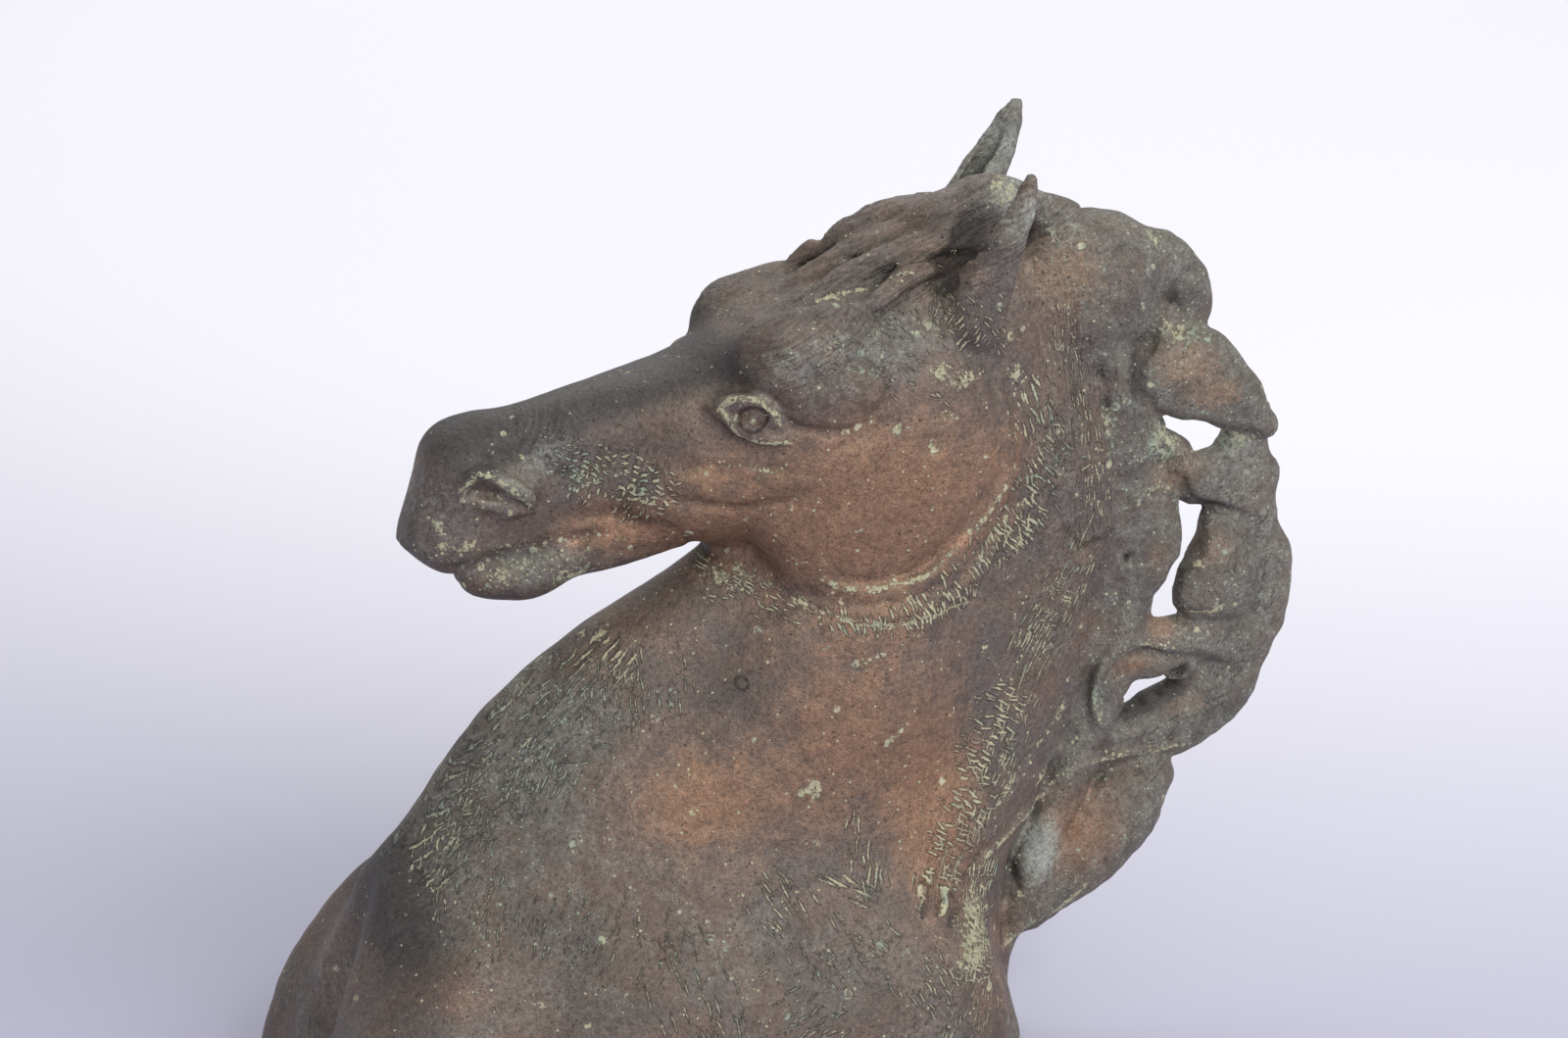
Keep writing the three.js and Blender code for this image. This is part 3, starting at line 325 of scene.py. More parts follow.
# Points on a smooth curve through a path, with the place along it counted in spans.
def curve_points(path, steps):
    path = np.array(path, float)
    ends = np.vstack([2 * path[0] - path[1], path, 2 * path[-1] - path[-2]])
    places = np.arange((len(path) - 1) * steps + 1) / steps
    k = np.minimum(places.astype(int), len(path) - 2)
    f = (places - k)[:, None]
    a, b, c, d = ends[k], ends[k + 1], ends[k + 2], ends[k + 3]
    curve = 2 * b + (c - a) * f + (2 * a - 5 * b + 4 * c - d) * f ** 2 + (3 * b - a - 3 * c + d) * f ** 3
    return curve / 2, k, f[:, 0]


# Distance to a strand: an oval section, thin along the given direction, swept along a smooth path.
# Hair grooves of the given pitch and depth can run along it.
def strand(f, thin, grooves=None, steps=5):
    points, k, part = curve_points(f["path"], steps)
    ease = part * part * (3 - 2 * part)
    wides, thicks = np.array(f["wide"], float), np.array(f["thick"], float)
    wides = wides[k] + (wides[k + 1] - wides[k]) * ease
    thicks = thicks[k] + (thicks[k + 1] - thicks[k]) * ease
    normal = np.array(thin) / np.linalg.norm(thin)

    def distance(p):
        best = np.full(len(p), np.inf)
        place = np.zeros(len(p))
        run_at = np.zeros(len(p))
        walked = 0.0
        for i in range(len(points) - 1):
            span = points[i + 1] - points[i]
            length = np.linalg.norm(span)
            along = span / length
            flat = normal - along * (normal @ along)
            flat /= np.linalg.norm(flat)
            across = np.cross(flat, along)
            d = p - points[i]
            over = d @ along
            run = np.clip(over, 0, length)
            share = run / length
            wide = wides[i] + (wides[i + 1] - wides[i]) * share
            thick = thicks[i] + (thicks[i + 1] - thicks[i]) * share
            u, v, w = d @ across, d @ flat, over - run
            near = np.sqrt((u / wide) ** 2 + (v / thick) ** 2 + (w / thick) ** 2)
            steep = np.sqrt((u / wide ** 2) ** 2 + (v / thick ** 2) ** 2 + (w / thick ** 2) ** 2)
            gap = np.where(steep > 0, near * (near - 1) / np.maximum(steep, 1e-9), -thick)
            closer = gap < best
            best = np.where(closer, gap, best)
            if grooves:
                place = np.where(closer, u, place)
                run_at = np.where(closer, walked + run, run_at)
            walked += length
        if grooves:
            pitch, depth = grooves
            wave = place + 0.5 * np.sin(run_at / 3.1) + 0.35 * np.sin(run_at / 1.7 + place)
            best = best + depth * (0.5 - 0.5 * np.cos(2 * math.pi * wave / pitch))
        return best

    spread = max(f["wide"])
    return distance, (points.min(axis=0) - spread, points.max(axis=0) + spread)


# Each ear is a leaf with a cup cut into its front.
def ear(f):
    leaf, box = strand(f, EAR_THIN)
    cup_path = [(a + EAR_CUP["forward"], u, s + EAR_CUP["out"]) for a, u, s in f["path"][1:]]
    cup, _ = strand(lock("cup", cup_path, [w * EAR_CUP["size"] for w in f["wide"][1:]],
                         [t * EAR_CUP["size"] for t in f["thick"][1:]]), EAR_THIN)
    return lambda p: carve(leaf(p), cup(p), EAR_CUP["blend"]), box


# An oval of the head, turned in profile. Its first and last axes are along and up.
def profile_oval(f):
    return oval(f, 0, 1)


PITCH_COS, PITCH_SIN = cos_sin(HEAD_PITCH)


# From the bust's frame to the head's own.
def to_head(p):
    dx, dy, dz = (p - np.array(HEAD_AT, float)).T
    return np.stack([-dx * PITCH_COS - dz * PITCH_SIN, -dx * PITCH_SIN + dz * PITCH_COS, -dy], axis=1)


# From the head's own frame to the bust's.
def from_head(q):
    along, up, side = q.T
    back, rise = -along * PITCH_COS - up * PITCH_SIN, -along * PITCH_SIN + up * PITCH_COS
    return np.stack([HEAD_AT[0] + back, -side, HEAD_AT[2] + rise], axis=1)


def head_field(p, fine):
    q = to_head(p)
    out = q * (1, 1, 1)
    out[:, 2] = np.abs(q[:, 2])
    d = head_loft(out)
    for f in HEAD_MASSES:
        d = apply(d, out, *profile_oval(f), f["blend"], join)
    for f in HEAD_HOLLOWS:
        d = apply(d, out, *profile_oval(f), f["blend"], carve)
    d = apply(d, out, *profile_oval(EYE), EYE["blend"], join)
    for f in FOLDS:
        d = apply(d, out, *strand(f, FOLD_THIN), FOLD_BLEND, join)
    for f in EARS:
        d = apply(d, q * (1, 1, f["side"]), *ear(f), EAR_BLEND, join)
    for f in FORELOCK:
        hair = HAIR_GROOVES if fine and f["name"] != "knob" else None
        d = apply(d, q, *strand(f, FORELOCK_THIN, hair), FORELOCK_BLEND, join)
    return d


def body_field(p):
    out = p * (1, 1, 1)
    out[:, 1] = np.abs(p[:, 1])
    d = neck_loft(out)
    for f in BODY_MASSES:
        d = apply(d, out, *oval(f), f["blend"], join, BODY_REACH)
    for f in BODY_GROOVES:
        d = apply(d, out, *oval(f), f["blend"], carve, BODY_REACH)
    mane = np.full(len(p), FAR_OFF)
    mane = apply(mane, p, *oval(POLL_LOBE), MANE_BLEND, join)
    for f in MANE:
        mane = apply(mane, p, *strand(f, MANE_THIN), MANE_BLEND, join)
    d = join(d, mane, CREST_BLEND)
    for f in WINDOWS:
        d = apply(d, p, *oval(f), f["blend"], carve)
    return d


# Distance to the bronze's surface, negative inside. The fine field also has the low relief.
def bust_field(p, fine=True):
    d = join(head_field(p, fine), body_field(p), NECK_BLEND)
    if fine:
        d = d - relief(p)
    return np.maximum(d, -p[:, 2])


def plain_field(p):
    return bust_field(p, fine=False)


# Odd numbers that mix a lattice point and a seed into a random height.
AXIS_MIX = np.array((73856093, 19349663, 83492791))
SEED_MIX, LAST_MIX = 2654435761, 1274126177


# Smooth noise from -1 to 1 on a lattice of the given spacing.
def noise(p, spacing, seed):
    q = p / spacing
    base = np.floor(q).astype(np.int64)
    f = q - base
    f = f * f * (3 - 2 * f)
    total = np.zeros(len(p))
    for corner in range(8):
        step = np.array([corner & 1, corner >> 1 & 1, corner >> 2 & 1])
        h = np.bitwise_xor.reduce((base + step) * AXIS_MIX, axis=1) ^ (seed * SEED_MIX)
        h = (h ^ (h >> 13)) * LAST_MIX & 0xffffffff
        value = ((h ^ (h >> 16)) & 0xffff) / 32767.5 - 1
        total += value * np.prod(np.where(step, f, 1 - f), axis=1)
    return total


# Creases, ridges and deposits along a line: half width, height, negative for a crease, how much pale crust
# lies along it, and the line's points.
def line(name, width, height, crust, *path):
    return {"name": name, "size": (width, width, width), "height": height, "crust": crust, "path": path}


# Lumps, pits and patches of crust: centre, radii, height and how pale.
def spot(name, at, size, height, crust=0):
    return {"name": name, "size": size, "height": height, "crust": crust, "path": [at]}


# Marks on both sides of the head, both sides of the body, and the body's left side alone. Their points are
# along and up on the head, x and z on the body, and the plain surface gives the third number. The few
# marks that lie off it have all three.
HEAD_MARKS = [
    line("brow hood", 1.1, -1.5, 0.15, (-0.4, 6.5), (-3.6, 3.7), (-6.9, 1.6), (-11.8, -1.2), (-17.4, -2.2),
         (-22.6, -0.2), (-26.1, 2.7)),
    line("brow hollow", 2.2, -1.2, 0, (0.1, 22), (-1.7, 23.9), (-6.1, 25.3), (-12.1, 25), (-18.9, 23.5),
         (-25.8, 19.4)),
    line("brow cleft", 1, -0.6, 0.1, (-10.2, 16.9), (-11.5, 11.6), (-15.3, 5.5)),
    line("brow crease", 1.2, -0.6, 0.4, (-16.6, 20), (-19.6, 12.6), (-25.2, 6.3), (-32.1, 4.5)),
    line("lid crease", 1, -0.7, 0, (8.6, 14.3, 16), (6, 15.2, 17.9), (2.2, 15.7, 20.9), (-0.7, 13.2, 23.7),
         (-2.3, 8.7, 24.2), (-2.5, 4.7, 24.3)),
    line("upper eye rim", 0.8, 0.35, 1.5, (9.7, 12.8), (7.5, 14.4), (4.1, 14.1), (1.3, 12), (-0.1, 8.9),
         (-0.6, 5.5)),
    line("lower eye rim", 0.6, 0.3, 1.3, (9.6, 12.1), (9.1, 9.6), (8.1, 6.4), (5.3, 3.7), (1.5, 2),
         (-1.9, 0.5)),
    line("upper crease below the eye", 1, -1, 0.75, (22.5, 2.3), (16, 1.2), (9.4, -1.4), (1.9, -5.1)),
    line("crease below the eye", 0.9, -1.4, 0.5, (27, -2.1), (21.8, -6), (14.1, -10.1), (8.2, -11.6),
         (2.1, -12.4)),
    line("fold below the eye", 1.6, 0.5, 0, (24.2, -0.2), (16.5, -3.4), (6.9, -7.2), (-1.2, -8.9)),
    line("cheek front fold", 1.3, -0.9, 0.4, (45.9, -6.4, 9.1), (42.3, -6, 10.1), (36.4, -7.1, 11.2),
         (31.2, -8.1, 14.4), (26.5, -12.8, 14.4), (21.2, -24.4, 0.7)),
    line("cheek front roll", 1.6, 0.6, 0.35, (46.1, -9.1), (41.6, -9.3), (36.5, -10.7), (31.9, -12.6)),
    line("mouth", 0.8, -0.8, 0.4, (75.1, -0.6), (68.8, -1.7), (62.3, -3.5), (55.6, -4.2), (49.1, -5.1),
         (42.7, -7.2)),
    line("upper lip edge", 1, 0.5, 0.45, (80.7, 5.5), (78, 2.9), (73.9, 1.7), (68.2, 1), (61.6, -1.3)),
    line("nostril arc", 0.8, 0.5, 1.25, (68, 13.1), (67.4, 15.7), (65.8, 17.7), (63.1, 18.7), (60.6, 17.3),
         (58.3, 14.4), (56.1, 10.4), (55, 7.5)),
    line("nostril ring", 1, -0.7, 0, (69.1, 14.3, 11.3), (67.9, 18.9, 12.1), (64.2, 20.5, 12),
         (59.6, 19.3, 11.9), (55.3, 15.5, 12.1), (52.8, 9.8, 13.1), (52.5, 4.6, 10.2)),
    line("nostril sill", 1.8, -1.3, 0, (64.5, 8.2, 13.4), (58.6, 5.6, 13.6), (53.4, 5.4, 13.6),
         (50.4, 7.6, 12.8)),
    line("nose fold", 1.4, -0.7, 0, (61.2, 21.6), (57.5, 19.4), (53.1, 18.4), (49.6, 15.1), (45.5, 9.2)),
    line("nose ridge", 0.7, 0.5, 0.2, (54.5, 22.8), (56.5, 22), (59, 21.6)),
    line("jaw edge", 0.9, 0.7, 0.95, (1.9, -33.2), (-2.3, -37.1), (-7.8, -39.9), (-13.3, -41.2),
         (-19.1, -42.1), (-23.9, -41.4), (-31, -38.7), (-37.9, -35.6), (-44.4, -31.5), (-49.6, -30.7)),
    line("jaw shade", 1.3, -0.7, 0, (-2.4, -35.2), (-8.4, -38.2), (-14, -39.6), (-19, -40.1),
         (-23.6, -39.1), (-30.1, -36), (-36.5, -32.7), (-42.8, -28.7)),
    line("jaw crease", 0.8, -1.2, 0.35, (4.6, -36.9), (0.3, -39.7), (-5.4, -42.6), (-11.8, -44.7),
         (-17.7, -45.6), (-22.3, -45.4)),
    line("throat crease", 0.7, -0.5, 0.95, (7.7, -36.9), (3.3, -41.3), (-2.8, -45.8), (-9.9, -49.2),
         (-18, -51.3), (-24.3, -52.5), (-29.4, -54.8)),
    line("pale strand", 1, 0.3, 0.8, (-20.6, 22.7, 9.4), (-30.6, 21.2, 9.9), (-41.1, 22.3, 14.9)),
    line("temple crease", 0.7, -0.4, 0.5, (-28.5, 13.6), (-36.7, 8.4)),
    line("ear root hollow", 2.6, -2.2, 0, (-60.4, 26, 7.1), (-56.7, 22.4, 8.9), (-52.7, 18.5, 9.8),
         (-47.9, 16.5, 14.3)),
    spot("upper brow bulge", (-5.8, 19.5), (5.4, 6.2, 6), 1.3),
    spot("hood bulge", (-12.9, 7), (9, 6, 6), 1.2),
    spot("nodule above the eye", (0.4, 14.8), (1.4, 1, 2), 0.6, 0.3),
    spot("pupil", (4.8, 9), (1.1, 1.1, 2), 0.5, 1.25),
    spot("nostril plug", (60.5, 10.9), (5, 2.8, 4), 1.4, 0.55),
    spot("eyeball", (4.6, 8.4), (4, 2.8, 4), 0.8),
    spot("plug speck", (59.3, 7.3), (1.6, 0.8, 3), 0.2, 0.8),
    spot("nostril hole", (65.6, 15.1), (1.1, 1.2, 3), -1),
    spot("lip blob", (74.6, 9.8), (1.4, 2.6, 4), 0.2, 0.7),
    spot("second lip blob", (75.8, 5.6), (2.4, 1.4, 4), 0.3, 0.85),
    spot("third lip blob", (70.2, 3.9), (4, 1.4, 4), 0.2, 0.75),
    spot("chin crust", (51.6, -13.5), (5.6, 2.4, 5), 0, 0.85),
    spot("lower lip crust", (62.7, -7.1), (12, 4.4, 6), 0, 0.6),
]
BODY_MARKS = [
    line("seam", 0.9, 1.4, 0.85, (63.4, 64.7), (66.7, 67.1), (71.6, 68.7), (78.1, 67.3), (83.4, 67.7),
         (90.2, 67), (98.7, 67.4)),
    line("hollow above the seam", 1.4, -1, 0, (61.8, 68.4), (65.8, 69.6), (70.2, 71.3), (79.4, 70),
         (87.1, 69.7)),
    line("crest rim", 0.9, 1, 0.95, (64.1, 65.6), (60.5, 61.2), (54, 59.1), (46.2, 56.8), (39.5, 54)),
    line("crest groove", 1.1, -0.8, 0, (62.2, 66.8), (55.1, 63), (49.6, 59.9), (42.5, 57.3), (36, 54.8)),
    line("root groove", 1, -0.9, 0.75, (65.8, 85), (62.2, 80.5), (57.3, 76.4), (51.3, 72.2), (45.4, 66)),
    line("undercut", 1.5, -1.9, 0, (85.1, 168.4), (82.3, 165.9), (81.3, 162.6), (81.6, 158.5), (84.8, 155.3)),
    line("poll crease", 0.9, -1.1, 0.2, (84.7, 167.9), (86.6, 170.9), (88.5, 175.1), (90.6, 178.3),
         (91.7, 182.5), (96.5, 184.7)),
    line("poll curl", 1, 0.7, 0.3, (88.8, 171.3), (90.9, 175.1), (92.8, 178.8), (95.1, 181.6)),
    line("poll shell", 0.9, -0.6, 0.1, (76.9, 198.5), (80.4, 196.8), (80.8, 193.9), (78.2, 191.8),
         (74.5, 192.7)),
    line("leaf seam", 0.9, 0.5, 0, (88.6, 159.8), (91.8, 160.9), (95.7, 160.8), (101.5, 157.8),
         (107.8, 153.5), (114.4, 148.6)),
    line("leaf lip", 1, 0.7, 0, (86.7, 154.5), (91.7, 152.5), (98, 150.4), (105.5, 147.9), (114.4, 145.5)),
    line("leaf crease", 1, -1.3, 0, (94.6, 135.7), (97.8, 129.7), (102.3, 126.4), (106.7, 125.3),
         (111.7, 123.4), (116.9, 120.5)),
    line("leaf edge", 1, 0.8, 0.15, (95.9, 136.1), (99.4, 130.6), (103.6, 128.4), (108.3, 127.2),
         (114.2, 124.7)),
    line("root lobe rim", 1, 0.9, 0.8, (82.4, 130.9), (84.2, 133.9), (87.9, 134.7), (92.8, 132.2),
         (94.6, 129.1)),
    line("root lobe groove", 1.2, -0.7, 0.2, (80.4, 127.4), (79.6, 133.5), (81.2, 137.6), (84.4, 139.7)),
    line("lobe side", 1.1, -1.1, 0, (108.1, 114.8), (105.9, 111.7), (107.5, 107.9), (106.6, 104.9)),
    line("lobe crease", 0.8, -1, 0.9, (106.8, -9.1, 104.8), (103.7, -9, 103.2), (100.6, -8.2, 102.3),
         (97.4, -6.6, 102.1), (95.2, -3.6, 102.2)),
    line("curl seam", 1, 0.6, 0.3, (108.8, 101.2), (115.2, 96.3), (120.3, 91.6)),
    line("flap rim", 0.9, 1.5, 0.85, (74.4, 78.1), (73.1, 83.1), (73.6, 87.8), (75.4, 92.5), (78.7, 95.9),
         (85.2, 96.2), (92.9, 93.8), (99.7, 93.2), (106.3, 89.8)),
    line("flap hollow", 1.2, -0.9, 0, (76.6, 81.7), (75.9, 86.7), (77.5, 91.4), (80.9, 93.5), (86.2, 93.7),
         (92.6, 91.6)),
    line("flap groove", 1.2, -1.2, 0, (71.5, 79.1), (71, 84.5), (71.7, 89.7), (73.9, 94.6), (77.7, 98.6)),
    line("low leaf rim", 1.1, 0.5, 0.9, (49.5, 26), (54.6, 28.4), (59.6, 30.6), (66.3, 33.1), (72.1, 38.2)),
    line("low leaf dent", 1.3, -0.8, 0, (54.3, 39.9), (52.6, 44.3), (50.7, 51.5), (53, 55.1)),
    line("neck fold", 1.3, -0.5, 0.25, (66.7, 161.5), (68.8, 153.2), (69.3, 144), (67.9, 132.6)),
    line("second neck fold", 1.2, 0.5, 0.25, (73.7, 149.7), (74.6, 140.4), (74.2, 131), (73, 121.7)),
    line("third neck fold", 1.2, -0.6, 0.15, (80.5, 114.4), (78.3, 106.2), (75.7, 99.1)),
    line("shoulder groove", 1.2, -0.7, 0.3, (-50, 55.9), (-42, 54.6), (-34.2, 54.8), (-26.2, 54.3),
         (-18.1, 56.2), (-11, 58.5), (0.2, 59.8)),
    spot("throat crust", (-15.1, 125.7), (13, 8, 3.6), 0, 0.6),
    spot("upper hole", (81, 118.1), (1.1, 4, 1.1), -2.6),
    spot("lower hole", (73.1, 116.5), (0.7, 2, 0.7), -1.2),
    spot("first neck pit", (65.9, 172), (1.6, 3, 1), -1.2, 0.35),
    spot("second neck pit", (72.3, 163.6), (1, 3, 1.6), -1.6),
    spot("third neck pit", (73.6, 156.3), (1, 3, 2), -1.5),
    spot("hollow by the window", (91.1, 146.6), (1.8, 3, 1.2), -1.3, 0.3),
    spot("lump left of the window", (88.1, 146.2), (4.5, 5, 4.5), 0.7, 0.4),
    spot("crust below the mane", (35.5, 44), (6, 10, 7), 0.5, 0.8),
    spot("second crust below the mane", (31.6, 38.8), (6, 10, 5), 0.3, 0.75),
    spot("crust on the crest", (59.3, 68.3), (3, 5, 2.6), 0.3, 0.8),
    spot("crust by the seam", (48.4, 70.2), (2, 5, 5), 0.3, 0.6),
    spot("crust by the window", (88.6, 145), (6, 6, 5), 0, 0.75),
    spot("crust under the poll", (93.2, 170.6), (7, 6, 3.4), 0.1, 0.75),
    spot("crust on the leaf", (108.3, 142.1), (6.5, 6, 3.4), 0.1, 0.8),
    spot("crust between the ears", (49.3, -4.9, 207.8), (4.4, 5, 5), 0.1, 0.8),
    spot("speck on the poll", (85.5, 193.2), (2.4, 4, 3.4), 0.2, 0.85),
    spot("speck behind the ear", (49.3, 167.5), (1.8, 4, 3.4), 0.3, 0.8),
    spot("ear root crust", (28.5, 173.1), (3.6, 5, 2.2), 0.2, 0.8),
    spot("second ear root crust", (34.5, 170), (5, 5, 1.8), 0.2, 0.8),
    spot("temple crust", (27.8, 182.1), (3.6, 5, 3), 0.1, 0.7),
    spot("brow crust", (9.4, 175), (5, 5, 2), 0.1, 0.4),
    spot("low leaf speck", (81.1, 48), (1.2, 4, 1.2), 0.2, 1),
    spot("second low leaf speck", (68.8, 39.7), (0.9, 4, 1.6), 0.2, 0.9),
    spot("crust on the grooves", (64.3, 82.7), (1.6, 4, 4.4), 0.1, 0.55),
    spot("crust at the mane root", (74.5, 151.9), (3, 5, 9), 0, 0.6),
    spot("mend in the mane", (102, 0, 87), (5, 12, 4), 1.3),
]
LEFT_MARKS = [
    line("long scratch", 0.7, -0.1, 0.9, (7.3, 108.1), (15.3, 110.4)),
    line("short scratch", 0.9, -0.1, 0.8, (14.8, 88.7), (20.8, 92.1)),
    spot("blob", (-2.4, 80.9), (1.7, 4, 2.6), 0.25, 1),
    spot("blob arm", (-5, 80), (1.8, 4, 1.1), 0.15, 0.9),
    spot("large pit", (26.5, 156.2), (1.4, 4, 1.9), -0.9, 1.5),
    spot("second pit", (29.5, 163), (1.8, 4, 1.1), -0.9, 1.4),
    spot("third pit", (17.8, 161.7), (1.1, 4, 1.2), -0.7, 1.4),
]
MARKS = {"head": HEAD_MARKS, "body": BODY_MARKS, "left": LEFT_MARKS}

# The iris, along and up, and its place on x and z. The plugged core pin hole, on x and z.
IRIS = {"at": (4.4, 9), "radius": 2.9}
IRIS_AT = from_head(np.array([[*IRIS["at"], 0]]))[0, [0, 2]]
PIN = {"at": (-16.7, 104.6), "radius": 1.3}
LOOK_IN = np.arange(60, -0.2, -0.4)  # places on the way in from the left side


# Lays points given by two numbers where the way in from the left side first meets the plain surface.
def laid_points(group, points):
    first, second = (np.repeat(column, len(LOOK_IN)) for column in np.array(points, float).T)
    inward = np.tile(LOOK_IN, len(points))
    if group == "head":
        way = np.stack([first, second, inward], axis=1)
        gap = plain_field(from_head(way))
    else:
        way = np.stack([first, -inward, second], axis=1)
        gap = plain_field(way)
    way, gap = way.reshape(len(points), -1, 3), gap.reshape(len(points), -1)
    row, inside = np.arange(len(points)), np.argmax(gap <= 0, axis=1)
    before, after = gap[row, inside - 1], gap[row, inside]
    share = (before / (before - after))[:, None]
    return way[row, inside - 1] * (1 - share) + way[row, inside] * share


# The marks with their points on the surface and their lines smoothed.
def laid_marks():
    marks = []
    for group, rows in MARKS.items():
        flat = [point for mark in rows for point in mark["path"] if len(point) == 2]
        placed = dict(zip(flat, laid_points(group, flat)))
        for mark in rows:
            path = np.array([placed.get(point, point) for point in mark["path"]], float)
            if len(path) > 1:
                path, _, _ = curve_points(path, 4)
            marks.append(mark | {"group": group, "size": np.array(mark["size"], float), "path": path})
    return marks


LAID_MARKS = laid_marks()
MARK_REACH = 3  # how many times its size a mark is felt away


# How close points are to a mark: 1 on it, falling to 0 away from it.
def closeness(mark, frames):
    on, size, path = frames[mark["group"]], mark["size"], mark["path"]
    reach = size * MARK_REACH
    near = np.all((on > path.min(axis=0) - reach) & (on < path.max(axis=0) + reach), axis=1)
    n, path = on[near] / size, path / size
    away = ((n - path[0]) ** 2).sum(axis=1)
    for a, b in zip(path[:-1], path[1:]):
        run = np.clip((n - a) @ (b - a) / ((b - a) @ (b - a)), 0, 1)
        away = np.minimum(away, ((n - a - run[:, None] * (b - a)) ** 2).sum(axis=1))
    fall = np.zeros(len(on))
    fall[near] = np.exp(-away)
    return fall


# The frames that marks are given in. Head and body are folded, so that both sides of the horse take them.
def mark_frames(p):
    q = to_head(p)
    q[:, 2] = np.abs(q[:, 2])
    return {"head": q, "body": p * (1, 0, 1) - np.abs(p) * (0, 1, 0), "left": p}


# Unevenness of the skin and lumps of the mane: the height and spacing of each layer of noise.
UNEVEN = [(0.42, 13), (0.22, 5.5), (0.1, 2.6)]
LUMPS = [(0.55, 8.5), (0.3, 3.6), (0.16, 1.9)]


def layers_of_noise(p, layers, seed):
    return sum(height * noise(p, spacing, seed + k) for k, (height, spacing) in enumerate(layers))


# Height of the low relief over the plain forms. Face and ears are smoother than the rest.
def relief(p):
    frames = mark_frames(p)
    head = frames["head"]
    mane = smoothstep(p[:, 0] - crest_x(p[:, 2]), 0, 9)
    face = smoothstep(-p[:, 0], 0, 12) * smoothstep(p[:, 2], 118, 130)
    ears = smoothstep(head[:, 1], 22, 25) * smoothstep(head[:, 2], 13, 15)
    skin = layers_of_noise(p, UNEVEN, 1) * (1 - 0.3 * mane) * (1 - 0.4 * face)
    height = (skin + layers_of_noise(p, LUMPS, 4) * mane) * (1 - 0.8 * ears)
    for mark in LAID_MARKS:
        if mark["height"]:
            height += mark["height"] * closeness(mark, frames)
    return height


# Where the mane meets the neck, at each height.
CREST_LINE = [
    (22, 46), (42, 42), (60, 50), (82, 60), (104, 68), (125, 73), (145, 70), (165, 66), (181, 58), (192, 52),
]


def crest_x(z):
    heights, places = zip(*CREST_LINE)
    return np.interp(z, heights, places)


FIRST_CELL = 8  # size of the first cells, in steps of the grid
HALF_DIAGONAL = 0.866  # of a cell of size 1
FIELD_SLACK = 1.35  # the field can be this many times the true distance
RELIEF_ROOM = 1.2  # left for the low relief


# Cells of a grid that come near the surface, found by halving larger cells.
def surface_cells(field, step):
    low = np.array(BUST_BOX[0], float)
    size = step * FIRST_CELL
    counts = np.ceil((np.array(BUST_BOX[1]) - low) / size).astype(int)
    cells = np.stack(np.meshgrid(*[np.arange(n) for n in counts], indexing="ij"), axis=-1).reshape(-1, 3)
    inside = np.zeros(counts * FIRST_CELL, bool)
    while True:
        value = field(low + (cells + 0.5) * size, size <= step)
        if size <= step:
            return low, cells, value, inside
        near = np.abs(value) < size * HALF_DIAGONAL * FIELD_SLACK + RELIEF_ROOM
        scale = round(size / step)
        for cell in cells[~near & (value < 0)]:
            a = cell * scale
            inside[a[0]:a[0] + scale, a[1]:a[1] + scale, a[2]:a[2] + scale] = True
        children = np.array([(i, j, k) for i in (0, 1) for j in (0, 1) for k in (0, 1)])
        cells = (cells[near][:, None, :] * 2 + children[None]).reshape(-1, 3)
        size /= 2


# The bust's surface as points in millimetres and four-sided faces.
def surface_net():
    low, cells, value, inside = surface_cells(bust_field, GRID_STEP)
    far = 3 * GRID_STEP
    values = np.where(inside, -far, far).astype(np.float32)
    values[tuple(cells.T)] = np.clip(value, -far, far)
    grid = openvdb.FloatGrid(far)
    grid.copyFromArray(values)
    points, faces = grid.convertToQuads(0.0)
    points = low + (np.asarray(points, float) + 0.5) * GRID_STEP
    points[np.abs(points[:, 2]) < 0.3 * GRID_STEP, 2] = 0  # the flat underside
    return points, np.asarray(faces)


# A property of each item, such as the places of a mesh's points, as rows of three.
def rows_of_three(items, name, kind=float):
    values = np.empty(len(items) * 3, kind)
    items.foreach_get(name, values)
    return values.reshape(-1, 3)


def mesh_object(name, points, faces):
    mesh = bpy.data.meshes.new(name)
    mesh.from_pydata((points * MM).tolist(), [], faces.tolist())
    mesh.validate()
    piece = bpy.data.objects.new(name, mesh)
    bpy.context.scene.collection.objects.link(piece)
    return piece


# Turns the faces outward where the mesh's volume comes out negative.
def face_outward(mesh):
    mesh.calc_loop_triangles()
    points = rows_of_three(mesh.vertices, "co")
    a, b, c = (points[corner] for corner in rows_of_three(mesh.loop_triangles, "vertices", np.int32).T)
    if np.einsum("ij,ij->", a, np.cross(b, c)) < 0:
        mesh.flip_normals()


# Closes up slivers, and deletes all that isn't joined to the outer skin, such as a bubble in the metal.
def clean_mesh(mesh):
    edit = bmesh.new()
    edit.from_mesh(mesh)
    bmesh.ops.remove_doubles(edit, verts=edit.verts, dist=SLIVER * MM)
    newest = {max(edit.verts, key=lambda v: v.co.x)}
    skin = set(newest)
    while newest:
        newest = {edge.other_vert(v) for v in newest for edge in v.link_edges} - skin
        skin |= newest
    bmesh.ops.delete(edit, geom=[v for v in edit.verts if v not in skin], context="VERTS")
    edit.to_mesh(mesh)
    edit.free()


